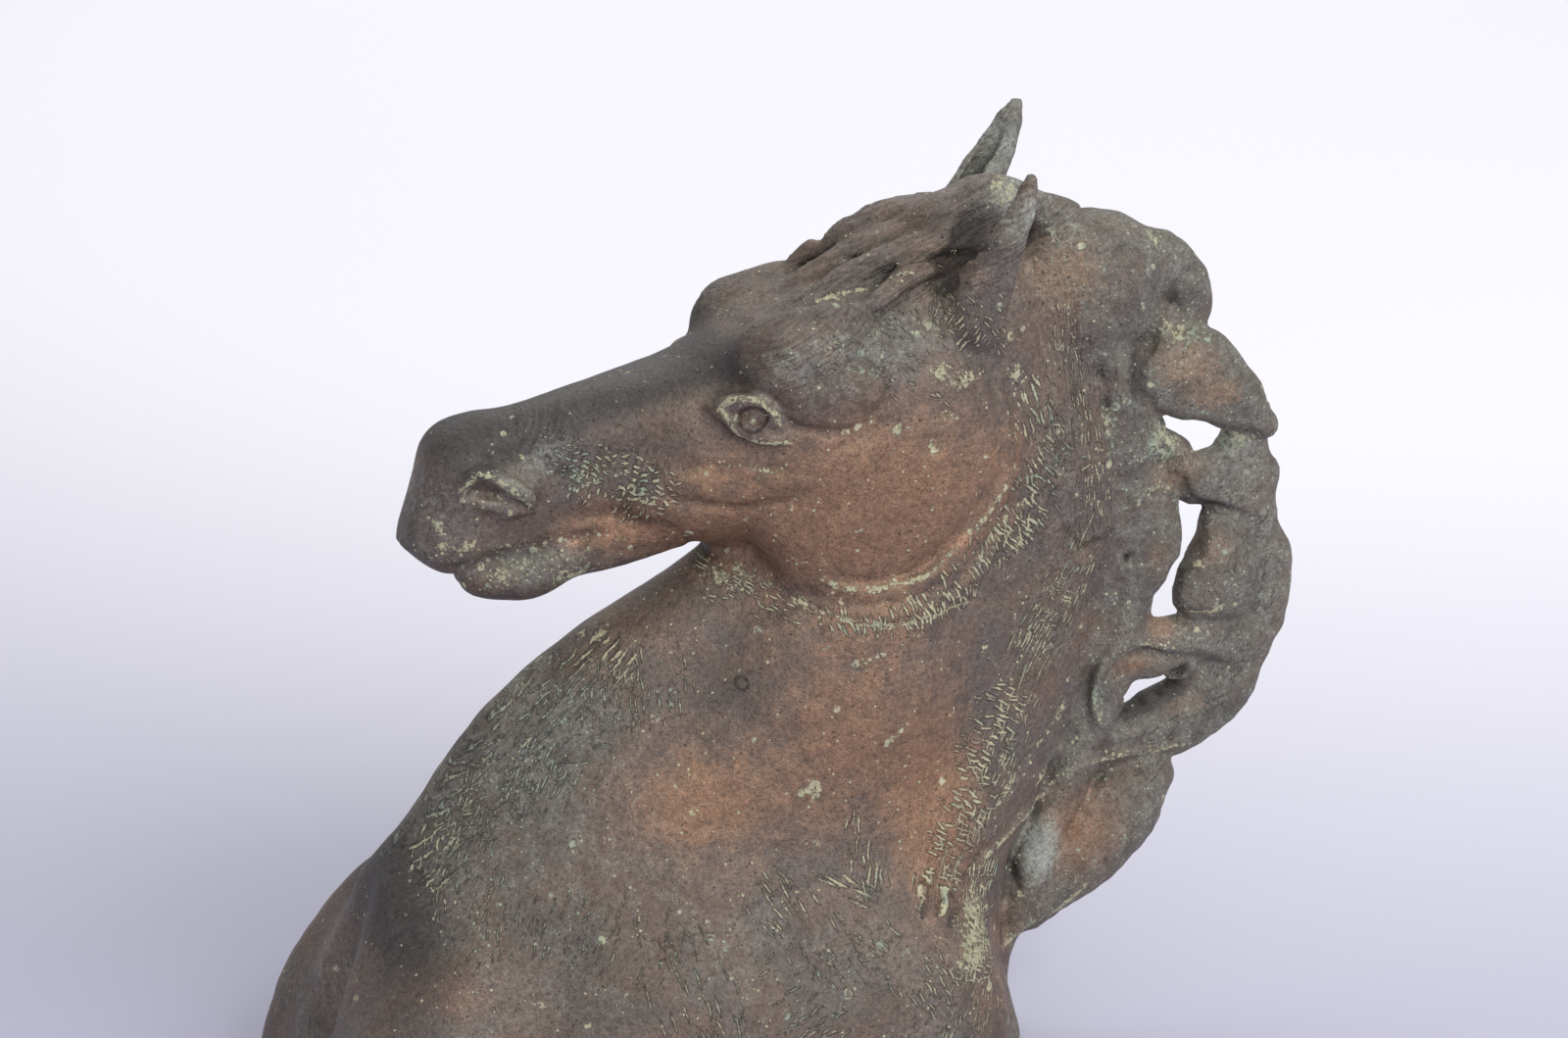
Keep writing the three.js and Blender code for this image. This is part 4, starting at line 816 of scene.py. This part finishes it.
# Thins the mesh to the wanted number of triangles.
def thin_mesh(piece):
    faces = len(piece.data.polygons) * 2
    if faces > TRIANGLES:
        reduce = piece.modifiers.new("thin", "DECIMATE")
        reduce.ratio = TRIANGLES / faces
        reduce.use_collapse_triangulate = True
        depsgraph = bpy.context.evaluated_depsgraph_get()
        thinned = bpy.data.meshes.new_from_object(piece.evaluated_get(depsgraph))
        piece.modifiers.clear()
        old = piece.data
        piece.data = thinned
        bpy.data.meshes.remove(old)
        thinned.name = piece.name


# Bands of chased strokes on layers 1 to 3, and of fine unbroken hair lines on layer 4. Each has its path on
# x and z, its half width, the way the strokes run, in degrees or by the path, their length and pitch, and
# how many of them show. Bands that touch are on different layers.
BANDS = {
    1: [
        ([(52, 160), (57, 152)], 8, -68, 7, 1.65, 1.1),
        ([(49, 131), (41.3, 127.4), (35.8, 123.2), (24, 119.5)], 6.5, -60, 5, 1.3, 1.2),
        ([(62, 150), (67, 143)], 4, 12, 5, 1.4, 0.7),
        ([(65, 116), (57, 104)], 4.5, "across", 4, 1.1, 0.8),
        ([(50, 96), (44, 84), (38, 72), (31, 61), (26, 54)], 8, "across", 4.8, 1.3, 1.1),
        ([(40, 46), (32, 34)], 7, -30, 4.4, 1.3, 0.7),
        ([(-88, 68), (-78, 83), (-68, 95), (-57, 104), (-43, 111)], 7, 40, 9, 1.2, 1.1),
        ([(6, 71), (9, 58)], 5, 82, 7, 1.6, 0.7),
        ([(-40, 50), (-30, 32)], 10, -78, 6, 1.3, 0.5),
        ([(-52, 157), (-44, 154), (-34, 150)], 6, -15, 2.2, 1.5, 1.1),
        ([(30, 186), (38, 176)], 4.2, 62, 5, 1.4, 0.8),
        ([(112, 124), (116, 104), (110, 84)], 8, 60, 2.8, 1.1, 0.3),
    ],
    2: [
        ([(58, 148), (54.5, 139), (49.8, 133)], 8.5, -46, 6.4, 1.4, 1.3),
        ([(36, 119), (20, 116.5), (4, 118)], 4, -76, 4, 1.3, 0.8),
        ([(68.5, 124), (62, 112.5), (55.4, 101.6)], 8, "along", 4, 0.95, 1.1),
        ([(47, 86), (38, 70), (30, 58)], 8, -84, 5, 1.5, 0.4),
        ([(-60, 103), (-46, 101), (-34, 104)], 8, 84, 5, 1.15, 0.6),
        ([(-84, 70), (-72, 82), (-60, 88)], 8, 62, 5.5, 1.1, 0.9),
        ([(-14, 57), (-3, 44)], 9, -60, 6, 1.3, 0.6),
        ([(8, 46), (22, 34)], 9, -62, 4.6, 1.2, 0.5),
        ([(6, 180), (28, 171)], 7, -35, 3, 1.2, 0.35),
        ([(-20, 125), (-2, 119)], 4.4, -25, 2.8, 0.9, 0.9),
        ([(90, 66), (108, 73)], 7, 25, 2.8, 1, 0.6),
    ],
    3: [
        ([(56, 150), (50, 136), (40, 127)], 8, -88, 4.6, 1.5, 0.6),
        ([(62.1, 176), (66, 160), (70, 146), (71.5, 130)], 6, -84, 4.6, 1.05, 0.6),
        ([(53, 92), (47, 80), (41, 68), (34, 57)], 6, "along", 4.8, 1.2, 0.65),
        ([(40, 50), (36, 40), (29, 24)], 8, 68, 4.8, 1.2, 0.9),
        ([(-80, 76), (-66, 88), (-54, 92)], 8, 14, 4.4, 1.2, 0.5),
        ([(-1, 62), (12, 54)], 2.8, "along", 9, 1.4, 0.9),
        ([(-80, 60), (-45, 54)], 10, 62, 4.6, 1.2, 0.5),
        ([(-20, 40), (0, 30)], 11, 20, 4.2, 1.3, 0.3),
        ([(-50, 151), (-38, 146)], 6, 60, 2, 1.4, 0.8),
        ([(22, 182), (40, 186), (46, 176)], 5, -50, 3.2, 1.3, 0.45),
        ([(78, 160), (86, 148), (92, 142)], 6, -70, 2.6, 1, 0.35),
    ],
    4: [
        ([(62, 205), (40, 204), (18, 196), (-6, 184)], 15, 22, 7, 0.62, 1),
        ([(60, 178), (66, 156), (70, 130)], 9, -82, 8, 0.6, 0.9),
        ([(68, 122), (56, 98), (44, 80), (30, 56)], 11, "along", 7, 0.6, 0.7),
        ([(-88, 66), (-70, 88), (-46, 108)], 10, 38, 8, 0.6, 0.8),
        ([(-62, 164), (-50, 158), (-36, 156)], 7, 64, 5, 0.7, 0.8),
    ],
}
FAR_SHARE = 0.55  # of the strokes that the horse's other side has

# Tones of the patina, as blots on x and z: centre, radii and strength. Some dark blots are painted shade
# rather than
# patina: in the slit below the flap, the two holes and the undercut under the poll, and partly on the breast
# front and the nose top, which face away from the light. One grey blot, on the muzzle, is a painted
# reflection.
TONES = {
    "copper": [(14, 143, 33, 25, 1), (-18, 139, 20, 10, 0.8), (-42, 140, 18, 7, 0.7),
               (-22, 153, 10, 6, 0.5), (8, 92, 24, 26, 0.7), (27, 70, 13, 24, 0.95),
               (-28, 80, 22, 13, 0.8), (38, 192, 6, 7, 0.35), (70, 52, 14, 13, 0.8),
               (-88, 46, 12, 8, 0.5), (45, 30, 16, 16, 0.5), (103, 117, 7, 7, 0.5), (83, 91, 7, 4, 0.7),
               (91, 99.5, 4.5, 4, 0.9), (76, 182, 6, 12, 0.35), (46, 150, 8, 14, 0.4),
               (88, 118, 5, 7, 0.5)],
    # Dark: dark patina, with painted shade in the slit below the flap, the two holes and the undercut, and
    # partly on the breast front and the nose top.
    "dark": [(-8, 190, 16, 7, 0.6), (-95, 60, 12, 20, 0.86), (-22, 103, 17, 9, 0.5),
             (-74, 166, 14, 5, 0.6), (-60, 52, 16, 14, 0.3), (-20, 36, 75, 26, 0.22),
             (-47, 172, 12, 6, 0.5), (12, 64, 12, 10, 0.35), (81, 163, 3, 9, 0.8), (84, 77, 3.4, 2.6, 1),
             (88.5, 78.6, 3.6, 2.6, 1), (93, 80.2, 3.6, 2.6, 1), (97, 81.4, 3, 2.2, 0.9),
             (96, 87.6, 4, 2.2, 0.9), (80.6, 117.9, 1.3, 1.4, 1), (73.4, 116.4, 0.8, 0.9, 0.9),
             (40, 198, 7, 7, 0.6)],
    "ochre": [(61, 188, 11, 9, 0.9), (93, 164, 9, 6, 0.8), (101, 156, 7, 4.5, 0.9), (95, 137, 9, 6, 0.5),
              (98, 78, 8, 4, 0.5), (-35, 113, 14, 6, 0.35), (92, 137, 6, 5, 0.5)],
    "glaze": [(-66, 86, 26, 20, 0.55), (-58, 102, 20, 8, 0.5), (-84, 68, 12, 16, 0.5),
              (-55, 56, 30, 16, 0.35), (-5, 42, 34, 16, 0.3), (62, 140, 9, 40, 0.35),
              (112, 105, 10, 40, 0.6), (-62, 158, 12, 9, 0.6), (-62, 133, 16, 6, 0.6),
              (0, 176, 18, 10, 0.45), (20, 182, 14, 8, 0.5), (100, 72, 16, 8, 0.7), (68, 196, 14, 6, 0.4),
              (48, 203, 8, 8, 0.6), (88, 148, 8, 6, 0.7), (84, 172, 6, 6, 0.6)],
    # Grey: grey patina, and on the muzzle a painted reflection of the pale surroundings.
    "grey": [(59.5, 48.5, 5.4, 8.6, 1), (50, 206, 6, 4, 0.6), (118, 110, 6, 24, 0.3), (2, 182, 9, 5, 0.3),
             (-57.5, 158.6, 5.5, 5, 0.45), (57, 212, 5.5, 8, 0.8), (-84, 151, 7, 9, 0.3),
             (110, 134, 7, 10, 0.3), (90, 146, 5, 4, 0.5), (86, 172, 4, 5, 0.4), (109, 142, 5, 4, 0.5)],
}


def tone(name, p):
    clear = np.ones(len(p))
    for x, z, rx, rz, strength in TONES[name]:
        clear *= 1 - strength * np.exp(-((p[:, 0] - x) / rx) ** 2 - ((p[:, 2] - z) / rz) ** 2)
    return 1 - clear


# Strokes of one layer: two coordinates that count strokes along and across, and the share that shows.
def stroke_layer(layer, p):
    flat = p[:, (0, 2)]
    result = np.zeros((len(p), 3))
    for path, half, way, length, pitch, most in BANDS[layer]:
        path = np.array(path, float)
        best = np.full(len(p), np.inf)
        run_at = np.zeros(len(p))
        offset = np.zeros(len(p))
        walked = 0.0
        for start, end in zip(path[:-1], path[1:]):
            span = np.linalg.norm(end - start)
            along = (end - start) / span
            d = flat - start
            run = np.clip(d @ along, 0, span)
            gap = np.linalg.norm(d - run[:, None] * along, axis=1)
            closer = gap < best
            best = np.where(closer, gap, best)
            run_at = np.where(closer, walked + run, run_at)
            offset = np.where(closer, d @ np.array([-along[1], along[0]]), offset)
            walked += span
        if way == "along":
            a, b = run_at, offset
        elif way == "across":
            a, b = offset, run_at
        else:
            c, s = cos_sin(way)
            a, b = flat @ np.array([c, s]), flat @ np.array([-s, c])
        share = most * smoothstep(best, half * 1.15, half * 0.4) * np.where(p[:, 1] > 0, FAR_SHARE, 1)
        stronger = (best < half * 1.3) & (share >= result[:, 2])
        result[stronger] = np.stack([a / length, b / pitch, share], axis=1)[stronger]
    return result


def crust_share(p):
    frames = mark_frames(p)
    clear = np.ones(len(p))
    for mark in LAID_MARKS:
        if mark["crust"]:
            clear *= 1 - np.clip(mark["crust"] * closeness(mark, frames), 0, 1)
    return 1 - clear


HOLLOW_REACHES = (1.2, 3.2, 7)  # how far out a hollow is felt for, in steps
WEAR_REACH = 2.2  # how far in an edge is felt for


# Writes what the material needs to know of each point of the mesh.
def write_looks(mesh):
    p = rows_of_three(mesh.vertices, "co") / MM
    n = rows_of_three(mesh.vertex_normals, "vector")
    # How deep each point lies in a hollow: the material paints shade there.
    hollow = np.zeros(len(p))
    for away in HOLLOW_REACHES:
        hollow += np.clip(1 - plain_field(p + n * away) / away, 0, 1) / len(HOLLOW_REACHES)
    wear = np.clip(1 + plain_field(p - n * WEAR_REACH) / WEAR_REACH, 0, 1)
    along, up, _ = to_head(p).T
    # The nose's top is darkened: painted shade, as it faces away from the light, over dark patina.
    ridge = smoothstep(up, 13, 20) * smoothstep(along, -6, 6) * smoothstep(along, 76, 64)  # of the nose
    dark = 1 - (1 - tone("dark", p)) * (1 - 0.85 * ridge)
    iris = np.hypot(along - IRIS["at"][0], up - IRIS["at"][1])
    mane = smoothstep(p[:, 0] - crest_x(p[:, 2]), -2, 12)
    glaze = np.maximum(tone("glaze", p), 0.62 * mane * (1 - 0.6 * tone("copper", p)))
    looks = {
        "tones_a": [tone("copper", p), dark, tone("ochre", p)],
        "tones_b": [glaze, tone("grey", p), crust_share(p)],
        "shape": [hollow, wear, smoothstep(iris, IRIS["radius"] + 1.5, IRIS["radius"] - 0.5)],
    }
    for layer in BANDS:
        looks[f"strokes_{layer}"] = stroke_layer(layer, p).T
    for name, columns in looks.items():
        values = np.stack(columns, axis=1).astype(np.float32)
        made = mesh.attributes.new(name, "FLOAT_VECTOR", "POINT")
        made.data.foreach_set("vector", values.ravel())


def horse_bust():
    points, faces = surface_net()
    piece = mesh_object(PIECE, points, faces)
    thin_mesh(piece)
    clean_mesh(piece.data)
    face_outward(piece.data)
    piece.data.shade_smooth()
    write_looks(piece.data)
    return piece


# Short ways to add and link shader nodes.
class Shader:
    def __init__(self, tree):
        self.tree = tree

    def node(self, kind, inputs=(), output=0, **settings):
        made = self.tree.nodes.new(kind)
        for name, value in settings.items():
            setattr(made, name, value)
        for key, value in dict(inputs).items():
            if isinstance(value, bpy.types.NodeSocket):
                self.tree.links.new(value, made.inputs[key])
            else:
                made.inputs[key].default_value = value
        return made.outputs[output]

    def math(self, operation, a, b=0.0, c=0.0, clamp=False):
        return self.node("ShaderNodeMath", {0: a, 1: b, 2: c}, operation=operation, use_clamp=clamp)

    def chain(self, operation, first, *others):
        for value in others:
            first = self.math(operation, first, value)
        return first

    def add(self, *values):
        return self.chain("ADD", *values)

    def times(self, *values):
        return self.chain("MULTIPLY", *values)

    def most(self, *values):
        return self.chain("MAXIMUM", *values)

    def less(self, a, b, clamp=False):
        return self.math("SUBTRACT", a, b, clamp=clamp)

    # The value times a factor, plus an amount.
    def scale(self, value, by, plus):
        return self.math("MULTIPLY_ADD", value, by, plus)

    def vector(self, operation, a, b=(0, 0, 0), output=0):
        return self.node("ShaderNodeVectorMath", {0: a, 1: b}, output, operation=operation)

    # A colour made lighter or darker.
    def shaded(self, colour, by):
        return self.node("ShaderNodeVectorMath", {0: colour, 3: by}, operation="SCALE")

    # A smooth step of the value, by default from 0 at low to 1 at high.
    def step(self, value, low, high, to=(0.0, 1.0)):
        return self.node("ShaderNodeMapRange", {0: value, 1: low, 2: high, 3: to[0], 4: to[1]},
                         interpolation_type="SMOOTHSTEP")

    # A place in two dimensions.
    def flat(self, a, b):
        return self.node("ShaderNodeCombineXYZ", {0: a, 1: b, 2: 0.0})

    def parts(self, vector):
        return self.node("ShaderNodeSeparateXYZ", {0: vector}).node.outputs

    def split(self, name):
        return self.parts(self.node("ShaderNodeAttribute", output="Vector", attribute_name=name))

    def mix(self, factor, a, b):
        return self.node("ShaderNodeMix", {0: factor, 6: a, 7: b}, 2, data_type="RGBA")


# The bronze's shader, with the place in millimetres, the tones, noises and masks that its parts share.
class Patina(Shader):
    def __init__(self, tree):
        super().__init__(tree)
        metres = self.node("ShaderNodeTexCoord", output="Object")
        self.place = self.vector("MULTIPLY", metres, (1 / MM, 1 / MM, 1 / MM))
        self.copper, self.dark, self.ochre = self.split("tones_a")
        self.glaze, self.grey, self.crust = self.split("tones_b")
        self.hollow, self.wear, self.iris = self.split("shape")
        self.broad = self.noise(17, 4.0)
        self.middle = self.noise(4.5, 4.0, 0.65, 11)
        self.fine = self.noise(1.3, 4.0, 0.7, 23)
        self.grain = self.noise(0.45, 2.0, shift=31)
        self.clean = self.less(1.0, self.dark)
        self.glazed = self.step(self.glaze, 0.1, 0.35)
        edges = self.step(self.wear, 0.2, 0.6)
        self.worn = self.times(edges, self.step(self.middle, 0.42, 0.62), self.clean)
        self.hair = hair_lines(self)
        self.pit = grains(self, 0.9, self.scale(self.middle, 1.6, -0.72), 5.0)
        self.stroke, self.rim = chased_strokes(self)
        self.crusts, self.crumb = crusts_and_crumbs(self)
        faded = self.step(self.noise(6, shift=59), 0.34, 0.52, (0.5, 1.0))
        self.pale = self.most(self.times(self.stroke, faded), self.crusts, self.crumb)

    # Noise of the given size in millimetres, about 0 to 1.
    def noise(self, size, detail=3.0, roughness=0.6, shift=0.0):
        moved = self.vector("ADD", self.place, (shift, shift * 0.7, -shift)) if shift else self.place
        return self.node("ShaderNodeTexNoise", {"Vector": moved, "Scale": 1 / size, "Detail": detail,
                                                "Roughness": roughness})


def hair_lines(s):
    along, across, share = s.split("strokes_4")
    hair = s.node("ShaderNodeTexNoise", {"Vector": s.flat(along, across), "Scale": 1.0, "Detail": 2.0,
                                         "Roughness": 0.5})
    return s.times(s.less(hair, 0.5), share)


# Dashes of one layer of strokes, each a little turned and bent and of its own length: how deep they are,
# 0 to 1, and the dark rim around them, a painted shadow beside each stroke. The glaze narrows them, and
# patches makes them fewer in places.
def dashes(s, layer, patches):
    along, across, share = s.split(f"strokes_{layer}")
    share = s.times(share, patches)
    wander = s.scale(s.noise(5, 1.0, 0.55), 0.9, -0.45)
    cell = s.flat(along, s.add(across, wander))
    centre = s.node("ShaderNodeTexVoronoi", {"Vector": cell, "Scale": 1.0, "Randomness": 0.6}, "Position",
                    voronoi_dimensions="2D")
    along, across, _ = s.parts(s.vector("SUBTRACT", cell, centre))
    first, second, third = s.parts(centre.node.outputs["Color"])
    turn = s.times(along, s.scale(first, 1.8, -0.9))
    bend = s.times(along, along, s.scale(second, 2.4, -1.2))
    off = s.math("ABSOLUTE", s.add(across, s.add(turn, bend)))
    over = s.math("DIVIDE", s.math("ABSOLUTE", along), s.scale(second, 0.22, 0.36))
    taper = s.less(1.0, s.times(over, over), clamp=True)
    ragged = s.scale(s.noise(0.8, 3.0, 0.55), 0.7, -0.35)
    width = s.times(taper, s.scale(third, 0.1, s.scale(s.glazed, -0.11, 0.23)))
    level = s.add(s.less(width, off), s.times(ragged, taper))
    shown = s.step(s.less(share, third), -0.03, 0.06)
    deep = s.times(s.step(level, 0.0, 0.12), shown)
    # The rim is painted shadow round each stroke, and the bump raises it a little.
    rim = s.times(s.step(level, -0.26, 0.0), s.times(shown, s.step(taper, 0.0, 0.2)))
    strength = s.step(share, 0.1, 1.0, (0.55, 1.0))
    return s.times(deep, strength), s.less(rim, deep, clamp=True)


def chased_strokes(s):
    patches = s.step(s.noise(7, shift=19), 0.36, 0.56, (0.25, 1.15))
    layers = [dashes(s, layer, patches) for layer in (1, 2, 3)]
    return [s.most(*values) for values in zip(*layers)]


# Crumbs or pits: round grains of the given size in millimetres, where the share allows them.
def grains(s, size, share, shift):
    moved = s.vector("ADD", s.place, (shift, -shift, shift))
    away = s.node("ShaderNodeTexVoronoi", {"Vector": moved, "Scale": 1 / size}, "Distance")
    first, second, _ = s.parts(away.node.outputs["Color"])
    round_ = s.step(s.less(s.scale(second, 0.28, 0.16), away), -0.03, 0.1)
    return s.times(round_, s.step(s.less(share, first), 0.0, 0.04))


# Where the pale deposit lies as crust, and where as crumbs.
def crusts_and_crumbs(s):
    lump = s.node("ShaderNodeTexVoronoi", {"Vector": s.place, "Scale": 1 / 1.3}, "Distance")
    bare = s.add(s.times(s.fine, 0.7), s.times(s.grain, 0.5))
    bare = s.add(bare, s.scale(lump, 0.6, s.scale(s.middle, 0.8, -0.75)))
    pieces = s.step(s.noise(1.5, shift=91), 0.4, 0.52)
    crusts = s.times(s.step(s.less(s.crust, bare), -0.1, 0.08), pieces)
    few = s.scale(s.glaze, 0.16, s.scale(s.crust, 0.5, s.scale(s.copper, 0.05, 0.05)))
    few = s.times(few, s.step(s.middle, 0.35, 0.65, (0.2, 1.8)))
    large = s.times(grains(s, 3, s.times(few, 0.65), 9.0), pieces)
    return crusts, s.most(grains(s, 1, few, 0.0), large)


RING_WIDTH = 0.6


# A ring drawn round an axis across the bust, at x and z in millimetres.
def ring(s, at, radius):
    x, _, z = s.parts(s.place)
    across, rise = s.less(x, at[0]), s.less(z, at[1])
    reach = s.math("SQRT", s.scale(across, across, s.times(rise, rise)))
    return s.step(s.math("ABSOLUTE", s.less(reach, radius)), RING_WIDTH, RING_WIDTH * 0.4)


# Colours of the patina, in linear light. The black brown also serves painted shade in some dark blots, and
# the hollows' colour is painted shade.
BROWN = (0.130, 0.106, 0.090, 1)
WARM_BROWN = (0.162, 0.117, 0.090, 1)
HAZE = (0.205, 0.185, 0.160, 1)
COPPER = (0.285, 0.163, 0.097, 1)
BLACK_BROWN = (0.060, 0.055, 0.053, 1)
OCHRE = (0.275, 0.190, 0.122, 1)
GLAZE = (0.185, 0.182, 0.155, 1)
DUST = (0.360, 0.380, 0.330, 1)
GREY = (0.330, 0.345, 0.305, 1)
CREAM = (0.560, 0.540, 0.350, 1)
PALE_GREEN = (0.350, 0.410, 0.310, 1)
HOLLOW_SHADE = (0.045, 0.038, 0.032, 1)
WORN_COPPER = (0.520, 0.270, 0.170, 1)
WORN_GREY = (0.230, 0.225, 0.190, 1)
IRIS_BROWN = (0.130, 0.075, 0.052, 1)


# The metal's colour: brown, with the tones over it, worn edges, painted shade in the hollows and dust.
def metal_colour(s):
    # A tone, how much noise breaks its border, that noise, how strong it is at most, and its colour.
    # The dark tone is dark patina and, in places, painted shade.
    tones = [(s.copper, 1.0, s.middle, 0.9, COPPER), (s.glaze, 0.9, s.middle, 0.7, GLAZE),
             (s.ochre, 0.9, s.fine, 0.8, OCHRE), (s.dark, 0.4, s.middle, 0.85, BLACK_BROWN),
             (s.grey, 0.9, s.fine, 0.85, GREY)]
    haze = s.times(s.step(s.noise(26, 5.0, 0.65, 71), 0.48, 0.66), s.step(s.fine, 0.3, 0.6))
    colour = s.mix(s.step(s.broad, 0.4, 0.6), BROWN, WARM_BROWN)
    colour = s.mix(s.times(haze, 0.42), colour, HAZE)
    for share, by, border, strength, tint in tones:
        reach = s.step(s.add(share, s.scale(border, by, -by / 2)), 0.15, 0.85)
        colour = s.mix(s.times(reach, strength), colour, tint)
    colour = s.mix(s.times(s.iris, 0.7), colour, IRIS_BROWN)
    edge = s.mix(s.step(s.copper, 0.25, 0.6), WORN_GREY, WORN_COPPER)
    colour = s.mix(s.times(s.worn, 0.55), colour, edge)
    # Painted shade: the hollows darken towards a near-black brown.
    colour = s.mix(s.step(s.hollow, 0.22, 0.9, (0.0, 0.75)), colour, HOLLOW_SHADE)
    dust = s.times(s.step(s.noise(0.8, 4.0, 0.75, 83), 0.5, 0.62), s.step(s.middle, 0.4, 0.6))
    dust = s.times(dust, s.times(s.scale(s.glaze, 0.6, 0.12), s.clean))
    return s.mix(dust, colour, DUST)


# How light the metal's colour comes out, from its grain, pits, the strokes' rims with their painted shadow,
# the two rings, and painted shade that deepens the darkest blots: the slit below the flap, the two holes and
# the nose top.
def shade(s):
    left = s.step(s.parts(s.place)[1], -8, -12)
    iris_ring = s.times(ring(s, IRIS_AT, IRIS["radius"]), s.step(s.iris, 0.1, 0.4))
    pin_ring = s.times(ring(s, PIN["at"], PIN["radius"]), s.step(s.fine, 0.3, 0.55), left)
    rings = s.most(iris_ring, pin_ring)
    grainy = s.add(s.scale(s.fine, 1.5, 0.25), s.scale(s.grain, 1.4, -0.7), s.times(s.hair, 1.6),
                   s.scale(s.middle, 0.6, -0.3))
    # Painted shade: the strokes' rims and the darkest blots, in the slit, the two holes and the nose top,
    # darken the colour.
    return s.times(grainy, s.scale(s.pit, -0.4, 1.0), s.scale(s.rim, -0.5, 1.0),
                   s.scale(rings, -0.6, 1.0), s.step(s.dark, 0.9, 0.99, (1.0, 0.4)))


# The pale deposit's colour, greener in the glaze and creamier in the crust.
def deposit_colour(s):
    hue = s.scale(s.glazed, 0.13, s.noise(9, shift=47))
    hue = s.step(s.scale(s.crust, -0.14, hue), 0.5, 0.7)
    return s.shaded(s.mix(hue, CREAM, PALE_GREEN), s.scale(s.fine, 1.3, 0.25))


# Height of the fine relief that only the light shows, in millimetres.
def fine_height(s):
    return s.add(
        s.scale(s.fine, s.scale(s.glaze, 0.22, 0.3), s.times(s.grain, 0.08)),
        s.times(s.middle, 0.45),
        s.times(s.hair, 0.45),
        s.scale(s.stroke, -0.16, s.times(s.rim, 0.08)),
        s.scale(s.pit, -0.16, s.times(s.crumb, 0.14)),
        s.times(s.crusts, s.scale(s.fine, 0.4, 0.05)),
    )


def bronze_material():
    material = bpy.data.materials.new("patinated bronze")
    material.use_nodes = True
    s = Patina(material.node_tree)
    colour = s.mix(s.times(s.pale, 0.88), s.shaded(metal_colour(s), shade(s)), deposit_colour(s))
    bare = s.times(s.less(1.0, s.pale), s.less(1.0, s.grey, clamp=True))
    smoother = s.scale(s.worn, -0.12, s.times(s.fine, 0.08))
    rough = s.add(s.scale(s.middle, 0.25, 0.36), s.scale(s.most(s.pale, s.glaze), 0.3, smoother))
    bump = s.node("ShaderNodeBump", {"Strength": 1.0, "Distance": MM, "Height": fine_height(s)})
    looks = {"Base Color": colour, "Metallic": s.times(bare, s.scale(s.copper, 0.2, 0.35)),
             "Roughness": rough, "Normal": bump}
    for name, value in looks.items():
        s.tree.links.new(value, s.tree.nodes["Principled BSDF"].inputs[name])
    return material


# The camera looks at the horse's left side, from a little to the front and above.
CAMERA_TURN, CAMERA_RISE, CAMERA_DISTANCE = -18.0, 20.0, 0.85
CAMERA_TARGET = Vector((0, 0, 0.134))
SENSOR, FOCAL = 36.0, 86.93


def direction(turn, rise):
    (ahead, aside), (level, up) = cos_sin(turn), cos_sin(rise)
    return Vector((aside * level, -ahead * level, up))


# Puts a camera or light at a distance from the bust, looking at it, with its top up.
def aim(name, data, turn, rise, distance):
    thing = bpy.data.objects.new(name, data)
    thing.location = CAMERA_TARGET + direction(turn, rise) * distance
    thing.rotation_euler = (CAMERA_TARGET - thing.location).to_track_quat("-Z", "Y").to_euler()
    bpy.context.scene.collection.objects.link(thing)
    return thing


def camera():
    data = bpy.data.cameras.new("camera")
    data.sensor_width = SENSOR
    data.lens = FOCAL
    data.clip_end = 50
    bpy.context.scene.camera = aim("camera", data, CAMERA_TURN, CAMERA_RISE, CAMERA_DISTANCE)


def light(name, turn, rise, distance, size, power):
    data = bpy.data.lights.new(name, "AREA")
    data.shape = "DISK"
    data.size = size
    data.energy = power
    aim(name, data, turn, rise, distance)


FLOOR_HALF = 12.0
# The floor's lit and shaded colours: a painted pool of light, paler around its middle.
FLOOR_LIT, FLOOR_SHADED = (0.90, 0.89, 0.94, 1), (0.40, 0.40, 0.53, 1)
FLOOR_LIGHT_POOL = (0.45, 0.9, 0)  # the middle of the floor's paler part
WORLD_COLOUR, WORLD_STRENGTH = (0.97, 0.97, 1.0, 1), 0.50


# A pale floor with a painted pool of light behind the bust, shading off to a darker lavender grey around it.
def studio_floor():
    mesh = bpy.data.meshes.new("floor")
    h = FLOOR_HALF
    mesh.from_pydata([(-h, -h, 0), (h, -h, 0), (h, h, 0), (-h, h, 0)], [], [(0, 1, 2, 3)])
    floor = bpy.data.objects.new("floor", mesh)
    bpy.context.scene.collection.objects.link(floor)
    material = bpy.data.materials.new("pale floor")
    material.use_nodes = True
    s = Shader(material.node_tree)
    principled = s.tree.nodes["Principled BSDF"]
    away = s.vector("DISTANCE", s.node("ShaderNodeTexCoord", output="Object"), FLOOR_LIGHT_POOL, 1)
    colour = s.mix(s.step(away, 0.5, 1.2), FLOOR_LIT, FLOOR_SHADED)
    s.tree.links.new(colour, principled.inputs["Base Color"])
    principled.inputs["Roughness"].default_value = 0.9
    mesh.materials.append(material)


def studio():
    studio_floor()
    world = bpy.data.worlds.new("studio")
    world.use_nodes = True
    background = world.node_tree.nodes["Background"]
    background.inputs["Color"].default_value = WORLD_COLOUR
    background.inputs["Strength"].default_value = WORLD_STRENGTH
    bpy.context.scene.world = world
    light("key", 30, 34, 1.6, 1.2, 18)
    light("front", -30, 12, 1.8, 1.6, 5)
    light("backdrop", 165, 48, 2.4, 2.6, 27)
    bpy.context.scene.view_settings.view_transform = "Standard"


camera()
studio()
bust = horse_bust()
bust.data.materials.append(bronze_material())
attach(bust, "root")
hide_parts("horse_bust")
